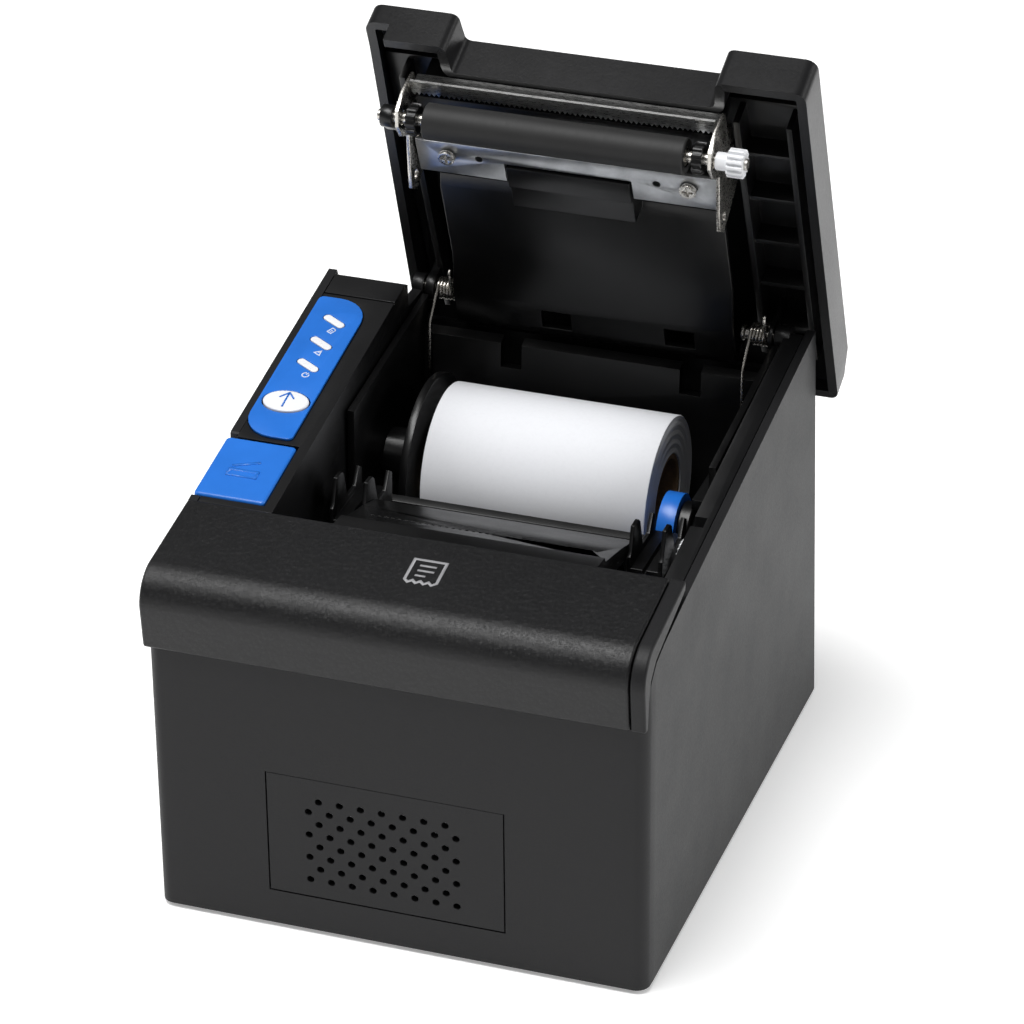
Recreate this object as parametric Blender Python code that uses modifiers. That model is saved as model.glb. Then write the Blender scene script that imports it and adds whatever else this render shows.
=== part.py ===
"""Receipt printer with its paper lid open: an 80 mm thermal printer with a drop-in paper roll.

Sizes are in millimetres and MM turns them into metres. X runs to the printer's right, Y from
its front to its rear, Z up. The lid's pieces are drawn as they lie when the lid is shut, in the
frame of the hinge axis, and the lid_pivot empty turns them to the open position.
"""

import bpy
import bmesh
from math import cos, pi, radians, sin
from mathutils import Matrix, Vector

MM = 0.001
GAP = 0.3                       # clearance between touching pieces

# Housing
HALF_W = 72.5                   # half the printer's width
WALL = 2.6
BODY_BOTTOM = 1.4               # the feet stand this far below the housing
BODY_DEPTH = 174.0
ORIGIN_X = 2.25                 # the frame's origin lies under the middle of the open printer,
ORIGIN_Y = 87.74                # measured from the body's middle and from the front of its base
SEAM_Z = 87.0                   # joint line between the housing and the front cover
RAIL_FRONT = (28.0, 109.5)      # top edge of the right wall, front end
RAIL_REAR = (160.4, 130.1)      # and its rear end
REAR_LINE = ((1.4, 174.0), (130.1, 160.4))   # (z, y) at the foot and the head of the sloping back
POD_FRONT = (31.0, 115.0)       # top of the control pod on the left, front end
POD_REAR = (143.0, 136.0)
POD_X = (-HALF_W, -47.6)

# Bay, mechanism and paper
BAY_X = (-46.9, 63.4)
HEAD_X = (-31.6, 45.6)
CRADLE_X = (-37.2, 51.2)        # centre planes of the two platen cradles
PLATEN_YZ = (77.0, 104.5)       # platen axis when the lid is shut
PLATEN_R = 5.3
PLATEN_X = (-31.4, 45.4)
TRAIN_X = (57.4, 62.4)          # plane of the drive gears
ROLL_YZ = (120.0, 90.3)
ROLL_X = (-27.5, 40.5)
ROLL_R = 24.0
CORE_R = 12.6
CORE_BORE = 11.0

# Lid, in the hinge frame: y is negative towards the front, z is up from the axis
HINGE_YZ = (158.0, 127.6)
SLOPE = 8.84                    # slope of the rails, in degrees
OPEN_ANGLE = 75.9               # from shut to fully open
RIM_Z = 3.6
LID_X = (-54.5, 77.0)
LID_FRONT = -99.5
LID_REAR = 28.5
LID_TOP = 17.1
EAR_W = 26.0
EAR_STEP = 10.0
SPRING_X = (-40.3, 56.6)        # where the two lid springs wind round the hinge axis

parts = bpy.data.collections.new("receipt_printer")
cutters = bpy.data.collections.new("cutters")
printer_origin = None
lid_pivot = None


def clear_scene():
    for obj in list(bpy.data.objects):
        bpy.data.objects.remove(obj, do_unlink=True)
    bpy.context.scene.collection.children.link(parts)
    bpy.context.scene.collection.children.link(cutters)
    cutters.hide_render = True


def make_material(name, colour, roughness, metallic=0.0):
    material = bpy.data.materials.new(name)
    material.use_nodes = True
    shader = material.node_tree.nodes["Principled BSDF"]
    shader.inputs["Base Color"].default_value = (*colour, 1.0)
    shader.inputs["Roughness"].default_value = roughness
    shader.inputs["Metallic"].default_value = metallic
    return material


CHARCOAL = make_material("charcoal_plastic", (0.028, 0.028, 0.030), 0.6)
COVER_BLACK = make_material("cover_black", (0.016, 0.016, 0.018), 0.4)
INNER_BLACK = make_material("inner_black", (0.010, 0.010, 0.011), 0.5)
BLUE = make_material("blue_plastic", (0.027, 0.205, 0.791), 0.35)
WHITE = make_material("white_plastic", (0.80, 0.80, 0.80), 0.4)
RUBBER = make_material("rubber", (0.014, 0.014, 0.014), 0.85)
STEEL = make_material("steel", (0.55, 0.55, 0.54), 0.3, 1.0)
ZINC = make_material("zinc_steel", (0.46, 0.48, 0.52), 0.38, 1.0)
ALUMINIUM = make_material("aluminium", (0.62, 0.62, 0.63), 0.4, 1.0)
PAPER = make_material("paper", (0.86, 0.86, 0.86), 0.85)
KRAFT = make_material("core_board", (0.36, 0.23, 0.13), 0.9)
BOARD = make_material("circuit_board", (0.02, 0.16, 0.07), 0.5)
CERAMIC = make_material("ceramic", (0.55, 0.52, 0.46), 0.3)


def add_object(name, mesh, material, parent, helper=False):
    obj = bpy.data.objects.new(name, mesh)
    (cutters if helper else parts).objects.link(obj)
    obj.parent = parent or printer_origin
    if material:
        mesh.materials.append(material)
    if helper:
        obj.hide_render = True
        obj.display_type = "WIRE"
    return obj


def finish_mesh(bm, name, smooth=False):
    bmesh.ops.recalc_face_normals(bm, faces=bm.faces)
    mesh = bpy.data.meshes.new(name)
    bm.to_mesh(mesh)
    bm.free()
    if smooth:
        mesh.shade_smooth()
        mesh.set_sharp_from_angle(angle=radians(35))
    return mesh


def box(name, x, y, z, material=None, parent=None, helper=False, round_by=0.0):
    """A block between the limits x, y and z, with its edges rounded by round_by."""
    bm = bmesh.new()
    bmesh.ops.create_cube(bm, size=1.0)
    size = Vector((x[1] - x[0], y[1] - y[0], z[1] - z[0])) * MM
    middle = Vector((x[1] + x[0], y[1] + y[0], z[1] + z[0])) * MM / 2
    bmesh.ops.scale(bm, vec=size, verts=bm.verts)
    bmesh.ops.translate(bm, vec=middle, verts=bm.verts)
    obj = add_object(name, finish_mesh(bm, name), material, parent, helper)
    if round_by:
        add_bevel(obj, round_by)
    return obj


def prism(name, outline, low, high, axis="X", material=None, parent=None, helper=False):
    """An outline drawn across the axis and carried along it from low to high.

    Across X the outline is (y, z), across Y it is (x, z) and across Z it is (x, y).
    """
    places = {"X": lambda a, b, c: (c, a, b), "Y": lambda a, b, c: (a, c, b), "Z": lambda a, b, c: (a, b, c)}
    place = places[axis]
    bm = bmesh.new()
    corners = [bm.verts.new(Vector(place(a, b, low)) * MM) for a, b in outline]
    face = bm.faces.new(corners)
    grown = bmesh.ops.extrude_face_region(bm, geom=[face])
    raised = [item for item in grown["geom"] if isinstance(item, bmesh.types.BMVert)]
    bmesh.ops.translate(bm, vec=Vector(place(0, 0, high - low)) * MM, verts=raised)
    return add_object(name, finish_mesh(bm, name), material, parent, helper)


def rod(name, radius, start, end, material=None, parent=None, helper=False, sides=32, tip=None):
    """A round bar from start to end; tip is the end radius when it tapers."""
    start, end = Vector(start) * MM, Vector(end) * MM
    bm = bmesh.new()
    bmesh.ops.create_cone(
        bm, cap_ends=True, segments=sides, radius1=radius * MM,
        radius2=(radius if tip is None else tip) * MM, depth=(end - start).length,
    )
    turn = Vector((0, 0, 1)).rotation_difference(end - start).to_matrix().to_4x4()
    bmesh.ops.transform(bm, matrix=Matrix.Translation((start + end) / 2) @ turn, verts=bm.verts)
    return add_object(name, finish_mesh(bm, name, smooth=True), material, parent, helper)


def wire(name, points, radius, material, parent=None):
    """A bent wire of round section through the points."""
    curve = bpy.data.curves.new(name, "CURVE")
    curve.dimensions = "3D"
    curve.bevel_depth = radius * MM
    curve.bevel_resolution = 2
    curve.use_fill_caps = True
    spline = curve.splines.new("POLY")
    spline.points.add(len(points) - 1)
    for point, place in zip(spline.points, points):
        point.co = (*(Vector(place) * MM), 1.0)
    return add_object(name, curve, material, parent)


def add_bevel(obj, width, segments=2):
    bevel = obj.modifiers.new("rounded_edges", "BEVEL")
    bevel.width = width * MM
    bevel.segments = segments
    bevel.limit_method = "ANGLE"
    bevel.angle_limit = radians(40)


def boolean(obj, operation, *others):
    for other in others:
        modifier = obj.modifiers.new(operation.lower(), "BOOLEAN")
        modifier.operation = operation
        modifier.object = other


def cut(obj, *others):
    boolean(obj, "DIFFERENCE", *others)


def fuse(obj, *others):
    boolean(obj, "UNION", *others)


def arc(centre, radius, start, end, steps):
    """Points round an arc from start to end degrees, counted from the first axis."""
    angles = [radians(start + (end - start) * step / steps) for step in range(steps + 1)]
    return [(centre[0] + radius * cos(a), centre[1] + radius * sin(a)) for a in angles]


def on_line(front, rear, y):
    """Height at y of the straight edge between two (y, z) points."""
    return front[1] + (rear[1] - front[1]) * (y - front[0]) / (rear[0] - front[0])


def rail_z(y):
    return on_line(RAIL_FRONT, RAIL_REAR, y)


def pod_z(y):
    return on_line(POD_FRONT, POD_REAR, y)


def oval(centre, half_a, half_b, steps=24):
    """Points round an ellipse."""
    turns = [2 * pi * step / steps for step in range(steps)]
    return [(centre[0] + half_a * cos(turn), centre[1] + half_b * sin(turn)) for turn in turns]


# ---------------------------------------------------------------- housing

def nose_outline():
    """Side outline of the front cover's outer skin, from the seam over the nose to its rear edge."""
    radius, top_slope = 10.5, 9.5
    centre = (4.4, 100.6)
    return [(-4.4, SEAM_Z), (-6.1, 98.0)] + arc(centre, radius, 180, 90 + top_slope, 8)[1:] + [(31.0, 115.6)]


def lower_housing():
    """The deep lower case: floor flange, front with its speaker grille, and both sides."""
    side = [
        (0.0, BODY_BOTTOM), (BODY_DEPTH, BODY_BOTTOM), RAIL_REAR, RAIL_FRONT, (12.0, 106.6),
        (4.4, 104.4), (0.6, 100.6), (-0.9, 95.0), (-2.0, SEAM_Z - 0.5), (-2.6, 79.3),
    ]
    shell = prism("lower_housing", side, -HALF_W, HALF_W, material=CHARCOAL)
    left = [
        (31.0, 100.0), (140.0, 100.0), (146.0, pod_z(141.0)), (143.0, pod_z(143.0)), (31.0, pod_z(31.0)),
    ]
    left_wall = prism("left_wall_top", left, -HALF_W, -HALF_W + WALL + 0.1, helper=True)
    hollow = [
        (WALL, -5.0), (BODY_DEPTH - WALL - 0.2, -5.0), (RAIL_REAR[0] - WALL, 140.0), (WALL - 1.5, 140.0),
    ]
    cavity = prism("housing_cavity", hollow, -HALF_W + WALL, HALF_W - WALL, helper=True)
    chin = [(-20.0, SEAM_Z - 0.5), (1.2, SEAM_Z - 0.5), (1.2, 140.0), (-20.0, 140.0)]
    above_seam = prism("above_seam", chin, -HALF_W + WALL, HALF_W - WALL, helper=True)
    button_notch = panel_prism("button_notch", BUTTON_WELL, -11.2, 9.0, helper=True)
    rear_cut = prism(
        "rear_wall_cut", [(150.0, 6.0), (190.0, 6.0), (190.0, 150.0), (150.0, 150.0)],
        -HALF_W + WALL, HALF_W - WALL, helper=True,
    )
    left_rear = box("left_rear_step", (-80.0, BAY_X[0]), (146.2, 180.0), (125.4, 150.0), helper=True)
    fuse(shell, left_wall)
    cut(shell, cavity, above_seam, button_notch, rear_cut, left_rear)
    cut(shell, *speaker_panel_cutters())


def speaker_panel_cutters():
    """A fine U-shaped groove round the speaker area and eight staggered rows of round holes."""
    found = []
    left, right, low, high = -38.5, 31.5, 12.5, 52.0
    groove = 0.5
    for name, x, z in (
        ("groove_left", (left - groove, left + groove), (low - groove, high)),
        ("groove_right", (right - groove, right + groove), (low - groove, high)),
        ("groove_low", (left - groove, right + groove), (low - groove, low + groove)),
    ):
        strip = box(name, x, (-6.0, 0.9), z, helper=True)
        found.append(strip)
    bm = bmesh.new()
    pitch_x, pitch_z, first_x, first_z = 6.2, 3.75, -26.0, 18.5
    for row in range(8):
        shift = pitch_x / 2 if row % 2 else 0.0
        for column in range(7 if row % 2 else 8):
            centre = Vector((first_x + shift + column * pitch_x, 0.0, first_z + row * pitch_z)) * MM
            turn = Matrix.Rotation(radians(90), 4, "X")
            bmesh.ops.create_cone(
                bm, cap_ends=True, segments=8, radius1=1.05 * MM, radius2=1.05 * MM,
                depth=16 * MM, matrix=Matrix.Translation(centre) @ turn,
            )
    found.append(add_object("grille_holes", finish_mesh(bm, "grille_holes"), None, None, helper=True))
    return found


def bottom_plate():
    plate = box(
        "bottom_plate", (-HALF_W + WALL + GAP, HALF_W - WALL - GAP),
        (WALL + GAP + 0.4, BODY_DEPTH - WALL - 1.4), (BODY_BOTTOM, BODY_BOTTOM + 2.0), INNER_BLACK,
    )
    sockets = [box(f"foot_socket_{i}", (x - 5.2, x + 5.2), (y - 5.2, y + 5.2), (0, 5.0), helper=True)
               for i, (x, y) in enumerate(foot_places())]
    cut(plate, *sockets)


def foot_places():
    return [(x, y) for x in (-58.0, 58.0) for y in (16.0, 156.0)]


def feet():
    for index, (x, y) in enumerate(foot_places()):
        foot = rod(f"rubber_foot_{index + 1}", 4.8, (x, y, 0.0), (x, y, 3.4), RUBBER, sides=24)
        add_bevel(foot, 0.5)


def rear_panel():
    """The back of the case, with openings for the switch and the sockets."""
    thick, top_z = 2.6, 116.0
    low, high = on_line(REAR_LINE[0], REAR_LINE[1], 6.3), on_line(REAR_LINE[0], REAR_LINE[1], top_z)
    outline = [(low - thick, 6.3), (low, 6.3), (high, top_z), (high - thick, top_z)]
    panel = prism("rear_panel", outline, -HALF_W + WALL + GAP, HALF_W - WALL - GAP, material=CHARCOAL)
    for name, (x, z, half_w, half_h) in socket_places().items():
        cut(panel, box(f"{name}_opening", (x - half_w - GAP, x + half_w + GAP), (150, 190),
                       (z - half_h - GAP, z + half_h + GAP), helper=True))
    x, z, half_w, half_h = socket_places()["power_switch"]
    frame = box("switch_frame", (x - half_w - 1, x + half_w + 1), (163.0, 172.6),
                (z - half_h - 1, z + half_h + 1), helper=True)
    fuse(panel, frame)
    cut(panel, box("switch_well", (x - half_w + 1.4, x + half_w - 1.4), (165.5, 180.0),
                   (z - half_h + 1.4, z + half_h - 1.4), helper=True))


def socket_places():
    """Centre x, centre z, half width and half height of each piece let into the rear panel."""
    return {
        "power_switch": (-54.0, 24.0, 6.6, 9.6),
        "dc_inlet": (-32.0, 20.0, 6.5, 6.5),
        "usb_port": (-8.0, 20.0, 6.2, 5.6),
        "lan_port": (18.0, 21.0, 8.1, 6.9),
        "cash_drawer_port": (46.0, 20.0, 6.4, 6.0),
    }


def rear_sockets():
    places = socket_places()
    for name, (x, z, half_w, half_h) in places.items():
        if name == "power_switch":
            continue
        face = ZINC if name in ("usb_port", "lan_port") else INNER_BLACK
        block = box(name, (x - half_w, x + half_w), (156.5, 172.0), (z - half_h, z + half_h), face)
        if name == "dc_inlet":
            mouth = rod("dc_mouth", 3.6, (x, 162.0, z), (x, 176.0, z), helper=True, sides=24)
        else:
            mouth = box(f"{name}_mouth", (x - half_w + 1.2, x + half_w - 1.2), (160.0, 176.0),
                        (z - half_h + 1.4, z + half_h - 1.4), helper=True)
        cut(block, mouth)
    x, z, half_w, half_h = places["power_switch"]
    reach = half_h - 3.0
    rocker = [(168.0, z - 1.5), (172.2, z - reach), (174.9, z - reach), (173.4, z), (173.6, z + reach),
              (171.0, z + reach), (168.0, z + 1.5)]
    prism("power_rocker", rocker, x - half_w + 1.8, x + half_w - 1.8, material=INNER_BLACK)


def front_cover():
    """Rounded front cover: a thin skin with end walls, open below and behind."""
    outer = nose_outline() + [
        (31.0, 112.4), (12.0, 107.1), (4.6, 104.9), (0.2, 101.0), (-1.4, 95.2), (-2.2, SEAM_Z),
    ]
    outer.reverse()
    end = prism("front_cover", outer, -HALF_W, HALF_W, material=COVER_BLACK)
    hollow = [
        (1.0, 84.0), (40.0, 84.0), (40.0, 112.0), (31.5, 113.0), (5.0, 108.0), (-0.6, 104.0),
        (-3.4, 97.0), (-1.9, 84.0),
    ]
    inside = prism("cover_hollow", hollow, -HALF_W + 2.9, HALF_W - 2.9, helper=True)
    left_step = box("pod_step", (-80, POD_X[1] + 3.4), (30.6, 40), (90, 130), helper=True)
    right_step = box("rail_step", (BAY_X[1] - 0.3, 80), (28.6, 40), (90, 130), helper=True)
    cut(end, inside, left_step, right_step)
    add_bevel(end, 0.9)


def side_rail():
    """The black top frame between the right wall and the bay."""
    outline = [(28.6, 104.0), (158.8, rail_z(157.0) - 6.0), (157.4, rail_z(157.4)), (28.6, rail_z(28.6))]
    right = prism("right_side_rail", outline, BAY_X[1] + 0.9, HALF_W - WALL - GAP, material=INNER_BLACK)
    notch = box("rail_notch", (BAY_X[1], BAY_X[1] + 4.5), (62.0, 66.5), (rail_z(62) - 3.5, 125), helper=True)
    cut(right, notch)
    return right


def control_pod():
    """Left-hand pod that holds the lid button and the indicator panel."""
    inner = POD_X[0] + WALL + GAP
    outline = [
        (31.3, 84.0), (142.6, 84.0), (143.6, 124.0), (142.8, pod_z(142.8) - 1.5), (140.8, pod_z(140.8)),
        (31.3, pod_z(31.3)),
    ]
    pod = prism("control_pod", outline, inner, POD_X[1], material=COVER_BLACK)
    hollow = [(33.5, 80.0), (139.5, 80.0), (139.5, pod_z(139.5) - 3.0), (33.5, pod_z(33.5) - 3.0)]
    inside = prism("pod_hollow", hollow, inner + 1.5, POD_X[1] - 2.2, helper=True)
    well = panel_prism("button_well", BUTTON_WELL, -11.2, 9.0, helper=True)
    cut(pod, inside, well)
    cut(pod, panel_prism("panel_recess", panel_outline(0.0), -0.6, 4.0, helper=True))
    cut(pod, panel_prism("panel_window", panel_outline(1.0), -6.0, 0.0, helper=True))
    groove = box("pod_groove", (-80, POD_X[1] + 1), (131.0, 131.7), (pod_z(131.3) - 0.7, 140), helper=True)
    cut(pod, groove)
    add_bevel(pod, 0.5, 1)
    return pod


POD_SLOPE = 10.62               # slope of the pod's top, in degrees
PANEL_X = (-70.2, -53.4)
PANEL_ALONG = (32.0, 100.0)


def panel_outline(inset):
    """The blue panel: long sides, with two opposite corners widely rounded."""
    left, right = PANEL_X[0] + inset, PANEL_X[1] - inset
    low, high = PANEL_ALONG[0] + inset, PANEL_ALONG[1] - inset
    wide, small = 10.0 - inset, 1.6
    return (
        arc((left + wide, low + wide), wide, 180, 270, 6)
        + arc((right - small, low + small), small, 270, 360, 3)
        + arc((right - wide, high - wide), wide, 0, 90, 6)
        + arc((left + small, high - small), small, 90, 180, 3)
    )


def panel_prism(name, outline, low, high, material=None, helper=False):
    """An outline (x, along the pod) raised between two heights over the pod's sloping top."""
    obj = prism(name, outline, low, high, axis="Z", material=material, helper=helper)
    obj.rotation_euler = (radians(POD_SLOPE), 0, 0)
    obj.location = Vector((0.0, POD_FRONT[0], pod_z(POD_FRONT[0]))) * MM
    return obj


BUTTON_WELL = [(-80.0, 2.7), (-50.6, 2.7), (-50.6, 30.5), (-80.0, 30.5)]
LED_ALONG = (66.5, 77.5, 88.5)
LED_X = -61.5
FEED_PLACE = (-61.5, 48.6)


def led_outline(along, grow=0.0):
    half, radius = 3.0, 1.25 + grow
    turn = radians(-30)
    points = []
    for end, start in ((1, -90), (-1, 90)):
        for px, py in arc((end * half, 0.0), radius, start, start + 180, 6):
            x = LED_X + px * cos(turn) - py * sin(turn)
            points.append((x, along + px * sin(turn) + py * cos(turn)))
    return points


def indicator_panel():
    """Blue panel with three light windows and the oval feed key."""
    panel = panel_prism("indicator_panel", panel_outline(GAP), -0.25, 0.6, BLUE)
    cut(panel, panel_prism("feed_hole", oval(FEED_PLACE, 7.3, 5.2), -3, 3, helper=True))
    names = ("power_lens", "error_lens", "paper_lens")
    for name, along in zip(names, LED_ALONG):
        cut(panel, panel_prism(f"{name}_hole", led_outline(along, 0.15), -3, 3, helper=True))
        lens = panel_prism(name, led_outline(along), -1.4, 0.7, WHITE)
        add_bevel(lens, 0.15, 1)
    feed = panel_prism("feed_button", oval(FEED_PLACE, 6.9, 4.8), -3.6, 1.3, WHITE)
    add_bevel(feed, 0.35, 2)


def push_button():
    """Wide blue key that frees the lid."""
    button = panel_prism(
        "push_button", [(-72.4, 3.2), (-51.0, 3.2), (-51.0, 30.0), (-72.4, 30.0)], -8.0, 0.3, BLUE,
    )
    well = panel_prism(
        "button_core", [(-70.4, 5.2), (-53.0, 5.2), (-53.0, 28.0), (-70.4, 28.0)], -20, -2.2, helper=True,
    )
    cut(button, well)
    add_bevel(button, 0.8)


# ---------------------------------------------------------------- bay and mechanism

def paper_bay():
    """Drop-in paper bucket: two end walls, a curved floor and a rear wall."""
    outline = [(89.0, 88.0)] + arc(ROLL_YZ, 31.0, 205, 335, 14) + [(151.5, 92.0), (153.2, 117.5)]
    outer = outline + [(89.0, 92.0)]
    shell = prism("paper_bay", outer, BAY_X[0], BAY_X[1], material=INNER_BLACK)
    inner = [(91.3, 88.0)] + arc(ROLL_YZ, 28.7, 205, 335, 14)
    inner += [(149.2, 93.0), (151.2, 150.0), (91.3, 150.0)]
    inside = prism("bay_inside", inner, BAY_X[0] + 2.0, BAY_X[1] - 2.0, helper=True)
    cut(shell, inside)
    for index, x in enumerate(((-21.0, -14.5), (34.5, 41.0))):
        cut(shell, box(f"rear_notch_{index}", x, (146.0, 160.0), (108.5, 125.0), helper=True))
    ledge = arc(ROLL_YZ, ROLL_R + 0.4, 222, 318, 12) + arc(ROLL_YZ, 29.6, 318, 222, 12)
    for index, x in enumerate((-23.0, 33.0)):
        fuse(shell, prism(f"roll_ledge_{index}", ledge, x, x + 2.0, helper=True))
    return shell


def bay_walls(bay):
    """End walls that carry the bay up to the rails, moulded in one piece with it."""
    upper_wall = [(89.4, 90.0), (153.0, 112.0), (153.4, 127.0), (89.4, rail_z(89.4) - 0.2)]
    for name, low in (("left_bay_wall", BAY_X[0]), ("right_bay_wall", BAY_X[1] - 2.0)):
        fuse(bay, prism(name, upper_wall, low, low + 2.0, helper=True))


def roll_guides(bay):
    """Round discs standing out from the end walls, which keep the roll in the middle of the bay."""
    y, z = ROLL_YZ
    for name, disc_x, wall, hub_end, radius in (
        ("left", (-33.4, -31.2), BAY_X[0] + 1.0, -32.4, 26.0),
        ("right", (56.0, 58.2), BAY_X[1] - 1.0, 57.2, 15.0),
    ):
        disc = rod(f"{name}_guide_disc", radius, (disc_x[0], y, z), (disc_x[1], y, z), helper=True, sides=48)
        hub = rod(f"{name}_guide_hub", 8.0, (wall, y, z), (hub_end, y, z), helper=True)
        fuse(bay, disc, hub)


def paper_roll():
    y, z = ROLL_YZ
    left, right = ROLL_X
    roll = rod("paper_roll", ROLL_R, (left, y, z), (right, y, z), PAPER, sides=72)
    cut(roll, rod("roll_bore", CORE_R + 0.15, (left - 9, y, z), (right + 9, y, z), helper=True, sides=48))
    core = rod("roll_core", CORE_R, (left + 0.4, y, z), (right - 0.4, y, z), KRAFT, sides=48)
    cut(core, rod("core_bore", CORE_BORE, (left - 9, y, z), (right + 9, y, z), helper=True, sides=48))


def mechanism_frame():
    """Fixed print mechanism: the sloping lip behind the cover, and the frame that carries the head."""
    lip_outline = [
        (31.4, 106.5), (46.0, 103.2), (58.0, 101.0), (70.2, 101.0), (70.4, 102.4), (60.2, 105.6),
        (44.0, 109.6), (43.2, 111.2), (31.4, 112.2),
    ]
    lip = prism("mechanism_lip", lip_outline, *HEAD_X, material=INNER_BLACK)
    bm = bmesh.new()
    for index in range(34):
        place = Vector((HEAD_X[0] + 6.0 + index * 2.0, 52.0, 107.7)) * MM
        size = Matrix.Diagonal((0.9 * MM, 0.7 * MM, 1.0 * MM, 1))
        bmesh.ops.create_cube(bm, size=1.0, matrix=Matrix.Translation(place) @ size)
    cut(lip, add_object("lip_dots", finish_mesh(bm, "lip_dots"), None, None, helper=True))
    frame = box("mechanism_frame", (-44.0, 56.9), (44.4, 86.5), (84.4, 87.0), ZINC)
    back = box("frame_back", HEAD_X, (44.4, 46.4), (86, 99.0), helper=True)
    fuse(frame, back)
    cut(frame, box("frame_window", (-20, 28), (52, 66), (80, 92), helper=True))
    return frame


def cradles():
    """Moulded forks that take the platen's bearings, one at each end of the head."""
    y, z = PLATEN_YZ
    half, thin, base_top = 4.6, 1.2, z - 6.2
    for name, x in zip(("left_cradle", "right_cradle"), CRADLE_X):
        base = box(name, (x - half, x + half), (y - 15.0, y + 8.6), (87.3, base_top), INNER_BLACK)
        for side in (-1, 1):
            cheek = prism(
                f"{name}_cheek_{side}",
                [(y - 15.0, 88.0), (y + 8.6, 88.0), (y + 8.6, z - 1.0), (y + 6.4, z + 0.4),
                 (y + 3.2, z - 4.6), (y - 3.2, z - 4.6), (y - 6.0, z + 4.2), (y - 7.4, z + 5.4),
                 (y - 11.6, z + 5.4), (y - 13.6, z - 1.6), (y - 15.0, z - 3.0)],
                x + side * half - thin / 2, x + side * half + thin / 2, helper=True,
            )
            fuse(base, cheek)
        cut(base, box(f"{name}_slot", (x - 0.5, x + 0.5), (y - 16, y + 10), (base_top - 1.4, z), helper=True))


def print_head():
    """Thermal head: a ceramic line heater on an aluminium heat sink, pressed rearwards by springs."""
    y, z = PLATEN_YZ
    front, back, reach, drop = y - 12.6, y - 8.4, 1.0, 4.0
    sink_x = (HEAD_X[0] + reach, HEAD_X[1] - reach)
    sink = box("head_heatsink", sink_x, (front, back), (87.6, z - drop), ALUMINIUM)
    for index in range(6):
        x = HEAD_X[0] + 8.0 + index * 12.4
        cut(sink, box(f"sink_slot_{index}", (x - 3, x + 3), (front - 1.4, front + 1.0), (90, 99),
                      helper=True))
    box("thermal_print_head", sink_x, (back + GAP, y - 4.4), (z - 13.0, z - drop), CERAMIC)
    leaf = prism(
        "head_spring",
        [(46.9, 90.0), (47.4, 90.0), (47.4, 94.0), (front - GAP, 98.6), (front - GAP, 99.6), (46.9, 94.4)],
        HEAD_X[0] + 6.0, HEAD_X[1] - 6.0, material=STEEL,
    )
    for index in range(3):
        x = HEAD_X[0] + 20.0 + index * 19.0
        cut(leaf, box(f"leaf_slot_{index}", (x - 4.0, x + 4.0), (45, 70), (93.0, 103), helper=True))


def gear(name, teeth, outer, root, x, centre, material, parent=None, bore=0.0, turn=0.0):
    """A spur gear between two x limits, with straight-sided teeth."""
    outline = []
    for tooth in range(teeth):
        for share, radius in ((0.0, root), (0.26, root), (0.42, outer), (0.68, outer), (0.84, root)):
            angle = 2 * pi * (tooth + share) / teeth + radians(turn)
            outline.append((centre[0] + radius * cos(angle), centre[1] + radius * sin(angle)))
    wheel = prism(name, outline, x[0], x[1], material=material, parent=parent)
    if bore:
        cut(wheel, rod(f"{name}_bore", bore, (x[0] - 2, *centre), (x[1] + 2, *centre), helper=True, sides=24,
                       parent=parent))
    return wheel


MOTOR_YZ = (67.6, 73.6)
REDUCER_YZ = (72.2, 80.4)
IDLER_YZ = (76.2, 93.2)


def drive_train(frame):
    """Stepper motor and the gears that reach up to the platen gear when the lid is shut."""
    box("stepper_motor", (28.0, 56.2), (MOTOR_YZ[0] - 9.8, MOTOR_YZ[0] + 9.8),
        (MOTOR_YZ[1] - 9.8, MOTOR_YZ[1] + 9.8), ALUMINIUM, round_by=1.6)
    gear("motor_pinion", 10, 2.9, 2.1, TRAIN_X, MOTOR_YZ, STEEL, turn=10.0)
    gear("reduction_gear", 18, 5.3, 4.4, TRAIN_X, REDUCER_YZ, WHITE, bore=1.3, turn=4.0)
    gear("idler_gear", 28, 8.0, 7.1, TRAIN_X, IDLER_YZ, WHITE, bore=1.3, turn=2.0)
    plate = box("gear_plate", (56.6, 57.1), (62.0, 86.5), (76.0, 96.0), helper=True)
    fuse(frame, plate)
    for name, centre in (("reducer_pin", REDUCER_YZ), ("idler_pin", IDLER_YZ)):
        pin = rod(name, 1.1, (56.8, *centre), (TRAIN_X[1], *centre), helper=True, sides=16)
        fuse(frame, pin)


ADJUSTER_YZ = (102.2, 91.4)


def near_end_adjuster(bay):
    """Thumb dial that sets how early the low-paper sensor trips, and the shelf moulded over it."""
    y, z = ADJUSTER_YZ
    shelf = box("sensor_shelf", (54.6, 62.0), (y - 6.0, y + 16.0), (z + 9.4, z + 12.4), helper=True)
    arm = box("sensor_arm", (57.0, 62.0), (y - 4.0, y + 4.0), (z - 4.0, z + 11.0), helper=True)
    fuse(bay, shelf, arm)
    dial = rod("adjuster_dial", 7.6, (50.4, y, z), (54.0, y, z), INNER_BLACK, sides=40)
    neck = rod("dial_neck", 4.0, (53.0, y, z), (55.6, y, z), helper=True, sides=32)
    fuse(dial, neck)
    add_bevel(dial, 0.4, 1)
    grip = prism(
        "adjuster_lever",
        arc((y, z), 9.6, 20, 200, 14) + arc((y, z), 6.0, 200, 20, 10),
        45.0, 50.1, material=BLUE,
    )
    tail = prism(
        "lever_tail", [(y - 9.4, z - 2.0), (y - 5.6, z - 2.0), (y - 3.4, z - 12.0), (y - 6.4, z - 12.0)],
        45.0, 50.1, helper=True,
    )
    fuse(grip, tail)


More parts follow.
